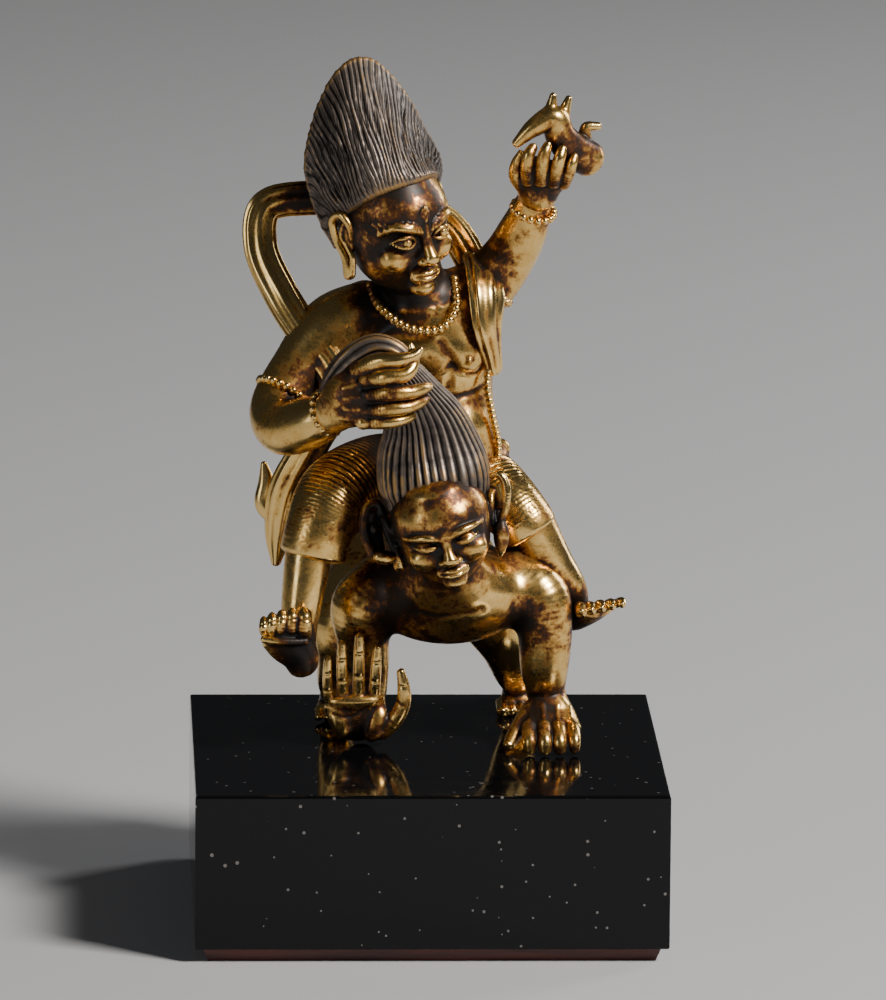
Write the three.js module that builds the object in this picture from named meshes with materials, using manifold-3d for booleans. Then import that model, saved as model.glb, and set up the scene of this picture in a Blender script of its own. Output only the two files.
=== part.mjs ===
// A small gilt bronze group, a fierce deity with upswept hair riding a crawling man, on a black plinth.
// Millimetres, +Z up, origin at the middle of the plinth's underside, the group faces -Y.
import * as THREE from "three";
import { mergeVertices } from "three/addons/utils/BufferGeometryUtils.js";
import Module from "manifold-3d";

// Plinth sizes
const PLINTH_SIDE = 68;
const PLINTH_TOP = 24.6;
const PLINTH_BEVEL = 0.4;
const FOOT_HEIGHT = 2;
const FOOT_TOP_INSET = 1.1;
const FOOT_BOTTOM_INSET = 1.9;

// The casting stands this far above the plinth
const SEAT_GAP = 0.3;
const STAND = PLINTH_TOP + SEAT_GAP;

// Heads: place of the middle, half sizes across, front to back and up, and the turn in degrees
const RIDER_HEAD = { at: [-5, 2.6, 101.2], half: [7.6, 8.3, 10], turn: 32, nod: 8, lean: -10, flare: 0 };
const MOUNT_HEAD = { at: [1.8, -11.2, 59.4], half: [7.1, 7.2, 8.2], turn: 0, nod: 12, lean: -14, flare: 1.2 };

// Hands and feet, seen with the palm or sole towards -Y and the fingers or toes up
const HAND = { palm: 6.4, halfWidth: 4.3, halfDepth: 1.9, finger: 6.4, fingerRadius: 1.15 };
const SOLE = { length: 7.6, halfWidth: 3.7, halfDepth: 2, toe: 2, toeRadius: 0.95 };

// Hair: number of carved locks and how deep the cuts between them are, as a share of the radius
const RIDER_LOCKS = 14;
const MOUNT_LOCKS = 9;
const LOCK_CUT = 0.1;

// Beaded ornaments
const BEAD_RADIUS = 0.75;

// Directions
const TO_VIEWER = new THREE.Vector3(0, -1, 0);
const DOWN = new THREE.Vector3(0, 0, -1);
const UP = new THREE.Vector3(0, 0, 1);

const wasm = await Module();
wasm.setup();

// A closed geometry as a solid that can be joined and cut.
function solid(geometry) {
  geometry.deleteAttribute("normal");
  geometry.deleteAttribute("uv");
  const merged = mergeVertices(geometry, 1e-4);
  return new wasm.Manifold(
    new wasm.Mesh({
      numProp: 3,
      vertProperties: merged.attributes.position.array,
      triVerts: new Uint32Array(merged.index.array),
    }),
  );
}

// A solid back as a geometry for a mesh.
function geometryOf(made) {
  const mesh = made.getMesh();
  const geometry = new THREE.BufferGeometry();
  geometry.setAttribute("position", new THREE.BufferAttribute(mesh.vertProperties, 3));
  geometry.setIndex(new THREE.BufferAttribute(mesh.triVerts, 1));
  geometry.computeVertexNormals();
  return geometry;
}

// A round body drawn along a smooth path. Each station is x, y, z, half width, half depth.
// The half depth lies towards `front`. `relief` scales the radius by angle and place, `folds` the
// depth alone, `pinch` draws the two edges thin, and `level` keeps every section horizontal.
function sweep(stations, options = {}) {
  const { sides = 8, steps = 8, front = TO_VIEWER, round = 1, capRows = 2, pinch = 0 } = options;
  const { relief = () => 1, folds = () => 1, level = false } = options;
  const path = new THREE.CatmullRomCurve3(stations.map(([x, y, z]) => new THREE.Vector3(x, y, z)));
  const sizes = new THREE.CatmullRomCurve3(
    stations.map(([, , , width, depth = width]) => new THREE.Vector3(width, depth, 0)),
  );
  const rows = steps + 2 * capRows;
  const geometry = new THREE.SphereGeometry(1, sides, rows);
  const position = geometry.attributes.position;
  for (let row = 0; row <= rows; row += 1) {
    const place = THREE.MathUtils.clamp((row - capRows) / steps, 0, 1);
    const centre = path.getPoint(place);
    const along = level ? UP.clone() : path.getTangent(place);
    const depth = front.clone().addScaledVector(along, -front.dot(along)).normalize();
    const side = depth.clone().cross(along);
    const size = sizes.getPoint(place);
    const endRow = Math.min(row, rows - row, capRows);
    const spread = Math.sin((endRow / capRows) * (Math.PI / 2));
    const past = Math.cos((endRow / capRows) * (Math.PI / 2)) * round * Math.min(size.x, size.y);
    centre.addScaledVector(along, row < rows / 2 ? -past : past);
    for (let column = 0; column <= sides; column += 1) {
      const angle = ((column % sides) / sides) * Math.PI * 2;
      const scale = spread * relief(angle, place);
      const thin = Math.abs(Math.sin(angle)) ** pinch * folds(angle, place);
      const point = centre
        .clone()
        .addScaledVector(side, -Math.cos(angle) * size.x * scale)
        .addScaledVector(depth, Math.sin(angle) * size.y * scale * thin);
      position.setXYZ(row * (sides + 1) + column, point.x, point.y, point.z);
    }
  }
  return solid(geometry);
}

// An egg shape: centre, half sizes along X, Y and Z.
function ball(centre, half, sides = 8, rows = 6) {
  const geometry = new THREE.SphereGeometry(1, sides, rows);
  geometry.rotateX(Math.PI / 2);
  geometry.scale(...half);
  geometry.translate(...centre);
  return solid(geometry);
}

// A flat round boss that looks along `facing`.
function boss(centre, facing, radius, thickness, sides = 10) {
  const geometry = new THREE.CylinderGeometry(radius * 0.8, radius, thickness, sides);
  const turn = new THREE.Quaternion().setFromUnitVectors(
    new THREE.Vector3(0, 1, 0),
    new THREE.Vector3(...facing).normalize(),
  );
  geometry.applyQuaternion(turn);
  geometry.translate(...centre);
  return solid(geometry);
}

// A ring round a limb. Its hole looks along `axis`.
function ring(centre, axis, radius, thickness = BEAD_RADIUS, sides = 9) {
  const geometry = new THREE.TorusGeometry(radius, thickness, 3, sides);
  const turn = new THREE.Quaternion().setFromUnitVectors(UP, new THREE.Vector3(...axis).normalize());
  geometry.applyQuaternion(turn);
  geometry.translate(...centre);
  return solid(geometry);
}

// Joins solids that overlap into one.
function join(solids) {
  return solids.reduce((whole, piece) => whole.add(piece));
}

// Moves a solid made in its own small frame to its place: turns are degrees about X, then Y, then Z.
function place(made, at, [turnX, turnY, turnZ] = [0, 0, 0]) {
  const rad = THREE.MathUtils.degToRad;
  const turn = new THREE.Euler(rad(turnX), rad(turnY), rad(turnZ), "ZYX");
  const matrix = new THREE.Matrix4().makeRotationFromEuler(turn).setPosition(...at);
  return made.transform(matrix.toArray());
}

// Locks cut along a hair mass: one cut for each lock, and each lock ends on a vertex column.
function locks(count, cut = LOCK_CUT) {
  return (angle) => 1 - cut * (0.5 - 0.5 * Math.cos(angle * count));
}

// An open or closed hand, wrist at the origin, palm to -Y. `curl` bends the fingers to the palm.
function hand({ thumbSide, curl = 0, spread = 0.12, scale = 1, thumbOut = 1, finger = HAND.finger }) {
  const { palm, halfWidth, halfDepth, fingerRadius } = HAND;
  const parts = [
    sweep(
      [
        [0, 0, -1, halfWidth * 0.62, halfDepth * 1.2],
        [0, 0, palm * 0.45, halfWidth * 0.92, halfDepth * 1.1],
        [0, 0, palm, halfWidth, halfDepth * 0.85],
      ],
      { sides: 6, steps: 2, capRows: 1, round: 0.4 },
    ),
  ];
  const lengths = [0.92, 1, 0.93, 0.74];
  lengths.forEach((share, index) => {
    const across = thumbSide * (1.5 - index) * (halfWidth * 0.54);
    const length = finger * share;
    const lean = across * spread;
    const stations = [0, 0.4, 0.75, 1].map((part) => {
      const bend = curl * part * 1.9;
      const reach = curl ? Math.sin(bend) / (curl * 1.9) : part;
      const dip = curl ? (1 - Math.cos(bend)) / (curl * 1.9) : 0;
      return [across + lean * part, -dip * length, palm * 0.93 + reach * length, fingerRadius * (1 - part * 0.22)];
    });
    parts.push(sweep(stations, { sides: 5, steps: 2, capRows: 1, round: 0.6 }));
  });
  parts.push(
    sweep(
      [
        [thumbSide * halfWidth * 0.45, -halfDepth * 0.5, palm * 0.15, fingerRadius * 1.35],
        [thumbSide * halfWidth * (0.95 + 0.2 * thumbOut), -halfDepth * 0.8, palm * 0.5, fingerRadius * 1.2],
        [thumbSide * halfWidth * (1 + 0.45 * thumbOut), -halfDepth * 0.7, palm * 0.95, fingerRadius],
        [thumbSide * halfWidth * (1 + 0.3 * thumbOut), -halfDepth * 0.5, palm * 1.3, fingerRadius * 0.8],
      ],
      { sides: 5, steps: 3, capRows: 1, round: 0.6 },
    ),
  );
  return join(parts).scale(scale);
}

// A foot, heel at the origin, sole to -Y, toes up.
function foot({ bigToeSide, scale = 1, toeBend = 0 }) {
  const { length, halfWidth, halfDepth, toe, toeRadius } = SOLE;
  const parts = [
    sweep(
      [
        [0, 0.4, 0, halfWidth * 0.7, halfDepth * 1.15],
        [0, 0.5, length * 0.45, halfWidth * 0.78, halfDepth * 1.05],
        [0, 0, length, halfWidth, halfDepth * 0.7],
      ],
      { sides: 6, steps: 2, capRows: 1, round: 0.6 },
    ),
  ];
  for (let index = 0; index < 5; index += 1) {
    const across = bigToeSide * (2 - index) * (halfWidth * 0.43);
    const reach = toe * (1 - index * 0.1);
    const radius = toeRadius * (index === 0 ? 1.25 : 1 - index * 0.05);
    parts.push(
      sweep(
        [
          [across * 0.9, 0, length * 0.9, radius],
          [across, -toeBend * reach, length + reach, radius * 0.95],
        ],
        { sides: 4, steps: 1, capRows: 1, round: 0.8 },
      ),
    );
  }
  return join(parts).scale(scale);
}

// A head that looks to -Y: skull, nose, brows, lids, lips, chin and long ears, by the usual thirds.
function head({ half: [across, deep, high], flare }) {
  const face = -deep;
  const parts = [
    sweep(
      [
        [0, face * 0.42, -high * 0.8, across * 0.4, deep * 0.4],
        [0, face * 0.2, -high * 0.52, across * 0.8, deep * 0.74],
        [0, face * 0.02, -high * 0.1, across * 0.98, deep * 0.97],
        [0, 0, high * 0.35, across, deep],
        [0, 0, high * 0.78, across * 0.66, deep * 0.68],
      ],
      { sides: 12, steps: 4, capRows: 1, round: 0.3, level: true },
    ),
    sweep(
      [
        [0, face * 0.96, high * 0.08, across * 0.1, deep * 0.08],
        [0, face * 1.06, -high * 0.14, across * 0.13, deep * 0.12],
        [0, face * 1.08, -high * 0.32, across * 0.22, deep * 0.13],
      ],
      { sides: 5, steps: 2, capRows: 1, round: 0.4 },
    ),
    ball([0, face * 0.9, -high * 0.5], [across * 0.3, deep * 0.14, high * 0.055], 6, 2),
    ball([0, face * 0.87, -high * 0.6], [across * 0.24, deep * 0.14, high * 0.055], 6, 2),
    ball([0, face * 0.76, -high * 0.79], [across * 0.25, deep * 0.17, high * 0.12], 6, 3),
  ];
  for (const side of [-1, 1]) {
    parts.push(
      ball([side * across * 0.42, face * 0.88, -high * 0.03], [across * 0.23, deep * 0.1, high * 0.09], 6, 2),
      sweep(
        [
          [side * across * 0.14, face * 0.98, high * 0.1, deep * 0.07],
          [side * across * 0.45, face * 0.93, high * 0.18, deep * 0.08],
          [side * across * 0.8, face * 0.66, high * 0.12, deep * 0.05],
        ],
        { sides: 4, steps: 2, capRows: 1, round: 0.5 },
      ),
      sweep(
        [
          [side * across * 0.96, deep * 0.06, high * 0.3, across * 0.12, deep * 0.2],
          [side * (across * 1.1 + flare), deep * 0.12, high * 0.12, across * 0.1, deep * 0.26],
          [side * (across * 1.02 + flare), deep * 0.04, -high * 0.3, across * 0.09, deep * 0.15],
          [side * (across * 1.02 + flare), deep * 0.02, -high * 0.62, across * 0.1, deep * 0.14],
        ],
        { sides: 5, steps: 3, capRows: 1, round: 0.5 },
      ),
    );
  }
  return join(parts);
}

// Places a head, with the hair over its crown, by its table of sizes.
function placedHead(which) {
  const [across, deep, high] = which.half;
  const crown = ball([0, deep * 0.12, high * 0.5], [across * 1.07, deep * 0.98, high * 0.62], 10, 3);
  return place(head(which).add(crown), which.at, [which.nod, which.lean, which.turn]);
}

// The crawling man: trunk, four limbs, head with gathered hair.
function crawlingMan() {
  const trunk = sweep(
    [
      [-1, 26, 46, 6, 5.5],
      [-1, 22, 47.3, 9.6, 7.6],
      [0.5, 14, 47.8, 9.2, 7],
      [2.6, 6.5, 47, 11, 7.5],
      [3.2, 0, 47, 11.6, 7.2],
      [2.8, -4.5, 50, 7.4, 5.6],
      [2.6, -8, 53.6, 4.4, 4.6],
    ],
    { sides: 10, steps: 7, round: 0.8, front: DOWN },
  );
  const leftArm = sweep(
    [
      [12.5, 2.5, 49, 4.7],
      [16.2, 0.3, 46.6, 4.4],
      [17.2, 0, 41.5, 3.9],
      [17.2, 0.4, 36, 3.6],
      [17.1, 1, 31.2, 3.1],
      [17.1, 0.2, 28, 3.3],
    ],
    { sides: 7, steps: 6, capRows: 1 },
  );
  const rightArm = sweep(
    [
      [-6, 2.5, 48, 4.7],
      [-9.4, 1, 45, 4.4],
      [-9.2, 3, 40, 3.9],
      [-8.8, 5, 34.5, 3.5],
      [-9, 4, 29.6, 3.1],
      [-9.4, 1, 27.6, 3],
    ],
    { sides: 7, steps: 6, capRows: 1 },
  );
  const leftLeg = sweep(
    [
      [5, 21, 46.5, 6.4],
      [10, 13.5, 40.4, 4.7],
      [12, 15, 36, 3.5],
      [13.6, 20, 31.4, 3],
      [14.4, 23.5, 28.6, 2.6],
    ],
    { sides: 7, steps: 5, capRows: 1 },
  );
  const rightLeg = sweep(
    [
      [-7, 20, 46.5, 6.4],
      [-11.4, 11, 40, 4.9],
      [-12, 12, 35.4, 3.6],
      [-12.4, 15.5, 31, 3],
      [-12.6, 18.6, 28.6, 2.6],
    ],
    { sides: 7, steps: 5, capRows: 1 },
  );
  const plantedHand = place(
    hand({ thumbSide: -1, curl: 0.32, spread: 0.22, thumbOut: 0.5 }),
    [17.1, 0, 27.4],
    [90, 0, 0],
  );
  const raisedHand = place(
    hand({ thumbSide: 1, curl: -0.1, spread: 0.06, scale: 1.08, finger: HAND.finger * 1.3 }),
    [-10, 0.6, 26.2],
    [6, -4, 0],
  );
  const feet = [
    place(foot({ bigToeSide: -1, scale: 0.85, toeBend: 0.9 }), [14.8, 26.6, 31.2], [140, 0, 0]),
    place(foot({ bigToeSide: 1, scale: 0.85, toeBend: 0.9 }), [-12.6, 21.7, 31.2], [140, 0, 0]),
  ];
  return join([
    trunk,
    leftArm,
    rightArm,
    leftLeg,
    rightLeg,
    plantedHand,
    raisedHand,
    ...feet,
    placedHead(MOUNT_HEAD),
    boss([-7.6, -11.2, 54.4], [-1, -0.6, 0], 1.7, 2.4, 7),
    ball([11, -10.6, 56.8], [1.2, 1.3, 2.1], 5, 4),
  ]);
}

// The crawling man's long hair, gathered upwards into the rider's fist, with its end thrown over.
function gatheredHair() {
  const gathered = sweep(
    [
      [0.9, -9, 63.4, 7.4, 6.2],
      [0.6, -9, 65.8, 8.2, 6.6],
      [0, -8.8, 69.5, 7.6, 5.4],
      [-0.9, -9, 74, 6.2, 4.3],
      [-2.8, -9.8, 78.5, 4.2, 3.4],
      [-4.8, -10.4, 82, 3, 2.8],
    ],
    { sides: 2 * MOUNT_LOCKS, steps: 4, capRows: 1, relief: locks(MOUNT_LOCKS, 0.14), round: 0.5 },
  );
  const thrownEnd = sweep(
    [
      [-3.6, -11, 83.6, 1.6, 1.8],
      [-7.5, -10.5, 85, 2.2, 2.3],
      [-11.4, -10, 83.6, 2, 2.4],
      [-14, -9.5, 80.8, 1.6, 1.9],
      [-15.4, -9, 79.2, 0.8, 0.9],
    ],
    { sides: 8, steps: 4, capRows: 1, relief: locks(4, 0.16) },
  );
  return gathered.add(thrownEnd);
}

// The rider without hair and dress: trunk, neck, limbs and head.
function rider() {
  const trunk = sweep(
    [
      [2.4, 13.5, 57, 7.6, 7],
      [2.6, 12.4, 62, 8.6, 7.6],
      [3.1, 9.4, 68, 7.9, 7.9],
      [3.2, 8.6, 74, 6.6, 6.4],
      [2, 7.8, 79, 8, 6.9],
      [0.9, 7.4, 84, 9.6, 6.7],
      [-1, 7.4, 88.4, 8.8, 5.2],
    ],
    { sides: 10, steps: 7, capRows: 1, round: 0.5 },
  );
  const neck = sweep(
    [
      [-1.4, 7, 88, 5],
      [-2.6, 5.2, 95, 4.3],
    ],
    { sides: 8, steps: 1, capRows: 1 },
  );
  const rightArm = sweep(
    [
      [-8.4, 8, 87, 4.9],
      [-13.6, 7, 85, 4.9],
      [-18.4, 5, 79.4, 4.3],
      [-21.6, 2, 74, 4.2],
      [-21, -1.8, 72, 4],
      [-17.2, -5.6, 73.4, 3.8],
      [-13.2, -8.4, 75.4, 2.9],
    ],
    { sides: 7, steps: 8, capRows: 1, front: UP },
  );
  const leftArm = sweep(
    [
      [4.4, 8, 88.4, 4.8],
      [8.4, 9, 91, 4.5],
      [11.6, 8, 95, 3.9],
      [13.8, 6, 99.6, 3.5],
      [15.2, 4, 104, 2.6],
    ],
    { sides: 8, steps: 5, capRows: 1 },
  );
  const grip = place(
    hand({ thumbSide: 1, curl: 1.05, spread: 0.05, scale: 1.12 }),
    [-12.8, -9.8, 76.2],
    [-10, 58, 0],
  );
  const lifted = place(
    hand({ thumbSide: -1, curl: 1.1, thumbOut: 0.3, scale: 0.88 }),
    [15.8, 4.6, 104.8],
    [10, 28, -20],
  );
  const shins = [
    sweep(
      [
        [-17, -4, 56, 3.6],
        [-17.9, -5.4, 50, 3.2],
        [-18.6, -6.6, 44.6, 2.7],
        [-18.8, -7.4, 40.6, 2.7],
      ],
      { sides: 7, steps: 3, capRows: 1 },
    ),
    sweep(
      [
        [14.8, 2.6, 57, 3.8],
        [17.9, 2.8, 51.6, 3.2],
        [20.9, 3.6, 46.8, 2.6],
        [22.2, 5, 43.8, 2.6],
      ],
      { sides: 7, steps: 3, capRows: 1 },
    ),
  ];
  const feet = [
    place(foot({ bigToeSide: 1, scale: 1.04 }), [-18.4, -9.6, 38.4], [4, -12, 0]),
    place(foot({ bigToeSide: 1, scale: 0.86 }), [20.4, 6, 42.4], [72, 0, 72]),
  ];
  return join([trunk, neck, rightArm, leftArm, grip, lifted, ...shins, ...feet, placedHead(RIDER_HEAD)]);
}

// The rider's hair: combed up and back into a tall pointed fan with a sharp rim.
function fanHair() {
  const fan = sweep(
    [
      [-7.4, 6, 101.6, 7.6, 6],
      [-7.7, 6.2, 105, 9.3, 7],
      [-8.2, 6.4, 109.2, 9.9, 7],
      [-9, 6.8, 114.3, 8.3, 5.4],
      [-9.4, 7.2, 118.7, 6.5, 4],
      [-9.8, 7.4, 122.4, 4.2, 2.6],
      [-10, 7.6, 124.4, 1.8, 1.5],
    ],
    {
      sides: 2 * RIDER_LOCKS,
      steps: 6,
      capRows: 1,
      front: new THREE.Vector3(0.42, -0.9, 0),
      relief: locks(RIDER_LOCKS),
      pinch: 0.25,
      round: 0.4,
    },
  );
  return fan;
}

// A carved ribbon of cloth: a flat band with raised folds along it.
function ribbon(stations, { sides = 8, ...options } = {}) {
  const folds = (angle) => 1 + 0.25 * Math.cos((angle * sides) / 2);
  return sweep(stations, { sides, capRows: 1, folds, ...options });
}

// The rider's dress: short folded trousers with banded hems, the scarf and the shawl.
function dress() {
  const hemStart = 0.86;
  const relief = (angle, part) => (part > hemStart ? 1.1 : 1 + 0.035 * Math.cos(angle * 5));
  const legs = [
    sweep(
      [
        [-1, 12.5, 61, 7.4, 6.8],
        [-8, 6, 62.2, 6.9, 6.6],
        [-13.6, -1, 61, 5.9, 5.9],
        [-15.9, -3.6, 56.8, 5, 4.8],
        [-16.6, -4, 53.8, 4.8, 4.4],
      ],
      { sides: 10, steps: 7, capRows: 1, relief, round: 0.2 },
    ),
    sweep(
      [
        [4, 13, 60.5, 7, 6.6],
        [8.4, 8.6, 61.4, 5.6, 5.6],
        [11.8, 4.6, 59.4, 4.9, 4.9],
        [13.7, 2.8, 57.6, 4.4, 4.3],
        [14.9, 2.6, 55.8, 4.2, 4.1],
      ],
      { sides: 10, steps: 7, capRows: 1, relief, round: 0.2 },
    ),
  ];
  const sash = sweep(
    [
      [-4.6, 11, 67.2, 1.4, 1.6],
      [-1, 4.4, 63.8, 1.4, 1.6],
      [3.4, 3, 62.6, 1.4, 1.6],
      [8, 4.4, 63.8, 1.4, 1.6],
      [11, 10, 66.6, 1.4, 1.6],
    ],
    { sides: 5, steps: 6, capRows: 1, front: UP },
  );
  const scarf = ribbon(
    [
      [7.6, 10, 92.4, 2.2, 1],
      [3, 13.6, 99, 2.3, 0.9],
      [-6, 14.4, 103, 2.4, 0.8],
      [-16, 13.8, 103, 2.4, 0.8],
      [-23.4, 12.4, 101.8, 2.3, 0.9],
      [-24.2, 11.4, 96.4, 2.3, 1],
      [-21.2, 8.6, 89.6, 2.4, 1],
      [-17, 3.8, 83.6, 2.4, 1],
      [-13.4, 1, 78.6, 2.4, 1],
      [-14, 2.6, 73.6, 2.3, 1.1],
      [-16.8, 5, 68, 2.4, 1.3],
      [-20.2, 6.4, 61, 2.6, 1.4],
      [-21.4, 7.4, 54.4, 1.9, 1.1],
      [-21.8, 8, 50, 0.7, 0.6],
    ],
    { steps: 18 },
  );
  const flame = sweep(
    [
      [-20.6, 7, 56.8, 1.9, 1],
      [-23.4, 7.8, 58.6, 1.5, 0.9],
      [-23.2, 8, 61.6, 1.3, 0.8],
      [-23.6, 8, 64.6, 0.5, 0.4],
    ],
    { sides: 6, steps: 4, capRows: 1 },
  );
  const shawl = ribbon(
    [
      [4.6, 12.6, 88, 2.6, 1.2],
      [7.6, 9, 93.4, 3, 1.3],
      [8.4, 3.6, 91.4, 3, 1.4],
      [8.6, 1.8, 86, 2.4, 1.3],
      [9.6, 3.4, 79.6, 1.4, 1],
    ],
    { sides: 6, steps: 5, front: new THREE.Vector3(0.5, -0.7, 0.5) },
  );
  const backFall = ribbon(
    [
      [5, 13.4, 90, 2.8, 1.2],
      [1.6, 15.4, 84, 3, 1.3],
      [-0.4, 15.6, 76, 3, 1.3],
      [-0.6, 19.4, 66, 3, 1.3],
    ],
    { sides: 6, steps: 4, front: new THREE.Vector3(0, 1, 0) },
  );
  return join([...legs, sash, scarf, flame, shawl, backFall]);
}

// The rider's jewellery: beaded rings on the arms, necklace with pendant, ear discs, girdle cord.
function jewellery() {
  const necklace = sweep(
    [
      [-8.4, 6, 91.4, 0.95],
      [-7, 1.6, 89, 0.95],
      [-3, -0.6, 86.4, 0.95],
      [1.4, -0.7, 86.2, 0.95],
      [3.9, 1, 88.8, 0.95],
      [3.8, 4.6, 92.6, 0.95],
    ],
    { sides: 4, steps: 7, capRows: 1 },
  );
  const girdle = sweep(
    [
      [9.8, 3.4, 84, 0.8],
      [8.6, 2.4, 78, 0.7],
      [9.4, 3.6, 73, 0.7],
      [10.4, 5.4, 68, 0.7],
      [10.2, 6.6, 63.6, 0.7],
    ],
    { sides: 4, steps: 5, capRows: 1 },
  );
  return join([
    necklace,
    girdle,
    boss([2.8, -0.3, 85.2], [0.2, -1, -0.2], 1.7, 1.8, 6),
    boss([-11.2, 2.4, 89.2], [-0.5, -1, 0.1], 3, 1.8, 8),
    boss([6.6, 2.2, 91.6], [0.8, -0.8, 0], 2.4, 1.8, 8),
    ring([-20.6, 3, 75.9], [-0.5, -0.4, -0.8], 4.3),
    ring([-14.9, -7.4, 75.1], [0.75, -0.55, 0.4], 3.1),
    ring([9.2, 8.9, 91.8], [0.75, 0, 0.6], 4.4),
    ring([15.2, 4.5, 102.8], [0.2, -0.4, 1], 3),
  ]);
}

// The small animal held up in the rider's left hand: body, head with muzzle and ears, legs and tail.
function heldAnimal() {
  return join([
    sweep(
      [
        [23, 3, 110.6, 2.6],
        [20.8, 1.8, 112, 2.6],
        [18.8, 0.6, 114.4, 2.2],
        [17.8, 0, 117, 1.9],
        [15, -0.6, 115.8, 1.4],
        [12.4, -1, 113.5, 0.8],
      ],
      { sides: 6, steps: 6, capRows: 1 },
    ),
    sweep([[17.2, 0, 117.4, 1.1], [17.7, 0, 120.4, 0.5]], { sides: 5, steps: 1, capRows: 1 }),
    sweep([[19, 0.6, 117, 1.1], [20, 1, 119.8, 0.5]], { sides: 5, steps: 1, capRows: 1 }),
    sweep(
      [
        [22.8, 3, 112, 1.1],
        [22.6, 2.8, 115.2, 0.8],
        [24.4, 3, 115.4, 0.6],
      ],
      { sides: 5, steps: 3, capRows: 1 },
    ),
  ]);
}

// The whole casting, cut flat where hands and feet stand.
function casting() {
  const whole = join([crawlingMan(), gatheredHair(), rider(), fanHair(), dress(), jewellery(), heldAnimal()]);
  const below = new THREE.BoxGeometry(PLINTH_SIDE, PLINTH_SIDE, PLINTH_TOP);
  below.translate(0, 0, STAND - PLINTH_TOP / 2);
  return whole.subtract(solid(below));
}

// A square board with its four upper edges and corners taken off, or drawn in towards the bottom.
function board(side, bottomSide, bottom, top, bevel) {
  const outline = (width) => {
    const half = width / 2;
    return new THREE.Shape([
      new THREE.Vector2(-half, -half),
      new THREE.Vector2(half, -half),
      new THREE.Vector2(half, half),
      new THREE.Vector2(-half, half),
    ]);
  };
  const geometry = new THREE.ExtrudeGeometry(outline(side - 2 * bevel), {
    depth: top - bottom - 2 * bevel,
    bevelEnabled: bevel > 0,
    bevelThickness: bevel,
    bevelSize: bevel,
    bevelSegments: 2,
    steps: 1,
  });
  geometry.translate(0, 0, bottom + bevel);
  const position = geometry.attributes.position;
  const draw = bottomSide / side;
  for (let index = 0; index < position.count; index += 1) {
    const height = (position.getZ(index) - bottom) / (top - bottom);
    const scale = THREE.MathUtils.lerp(draw, 1, height);
    position.setX(index, position.getX(index) * scale);
    position.setY(index, position.getY(index) * scale);
  }
  return geometryOf(solid(geometry));
}

const gilding = new THREE.MeshStandardMaterial({ color: 0xb5842f, metalness: 0.9, roughness: 0.36 });
const blackPolish = new THREE.MeshStandardMaterial({ color: 0x0a0a0b, metalness: 0, roughness: 0.08 });
const redBrown = new THREE.MeshStandardMaterial({ color: 0x2b0f0b, metalness: 0, roughness: 0.5 });

const figure = new THREE.Mesh(geometryOf(casting()), gilding);
figure.name = "rider_and_mount";

const block = new THREE.Mesh(
  board(PLINTH_SIDE, PLINTH_SIDE, FOOT_HEIGHT, PLINTH_TOP, PLINTH_BEVEL),
  blackPolish,
);
block.name = "plinth_block";

const footSide = PLINTH_SIDE - 2 * FOOT_TOP_INSET;
const footBottomSide = PLINTH_SIDE - 2 * FOOT_BOTTOM_INSET;
const footBoard = new THREE.Mesh(board(footSide, footBottomSide, 0, FOOT_HEIGHT, 0), redBrown);
footBoard.name = "plinth_foot";

const group = new THREE.Group();
group.add(footBoard, block, figure);

export default group;
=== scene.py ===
import math

import bpy
import numpy as np
import openvdb
from mathutils import Matrix, Vector


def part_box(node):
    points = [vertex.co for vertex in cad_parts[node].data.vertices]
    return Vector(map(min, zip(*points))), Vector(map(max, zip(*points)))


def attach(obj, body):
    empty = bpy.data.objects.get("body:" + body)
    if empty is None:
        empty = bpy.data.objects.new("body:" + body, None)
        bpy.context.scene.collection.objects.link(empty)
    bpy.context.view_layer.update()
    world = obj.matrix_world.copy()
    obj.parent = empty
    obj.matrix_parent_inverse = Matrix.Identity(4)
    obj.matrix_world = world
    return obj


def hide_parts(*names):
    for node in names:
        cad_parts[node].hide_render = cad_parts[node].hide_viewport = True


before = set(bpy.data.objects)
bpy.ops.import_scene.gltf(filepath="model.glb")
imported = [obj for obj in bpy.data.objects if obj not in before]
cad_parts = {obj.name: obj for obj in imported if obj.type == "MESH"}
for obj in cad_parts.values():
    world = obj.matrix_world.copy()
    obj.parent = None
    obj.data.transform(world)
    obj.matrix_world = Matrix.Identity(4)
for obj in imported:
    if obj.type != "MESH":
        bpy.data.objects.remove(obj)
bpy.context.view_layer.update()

# The room
# A plain pale floor, a large soft light high on the right, a weaker one on the left and one behind.
# The camera stands 1.6 m away and looks down at the group a little.
MM = 0.001
CAMERA_TARGET = Vector((2.246, 0.054, 60.866)) * MM
CAMERA_DISTANCE = 1616.6 * MM
CAMERA_HEADING = math.radians(2.045)
CAMERA_PITCH = math.radians(11.417)
CAMERA_ROLL = math.radians(0.43)
CAMERA_LENS = 401.04
FLOOR_HALF = 4.0
FLOOR_COLOUR = (0.56, 0.56, 0.57, 1.0)
ROOM_COLOUR = (0.03, 0.031, 0.033, 1.0)


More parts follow.
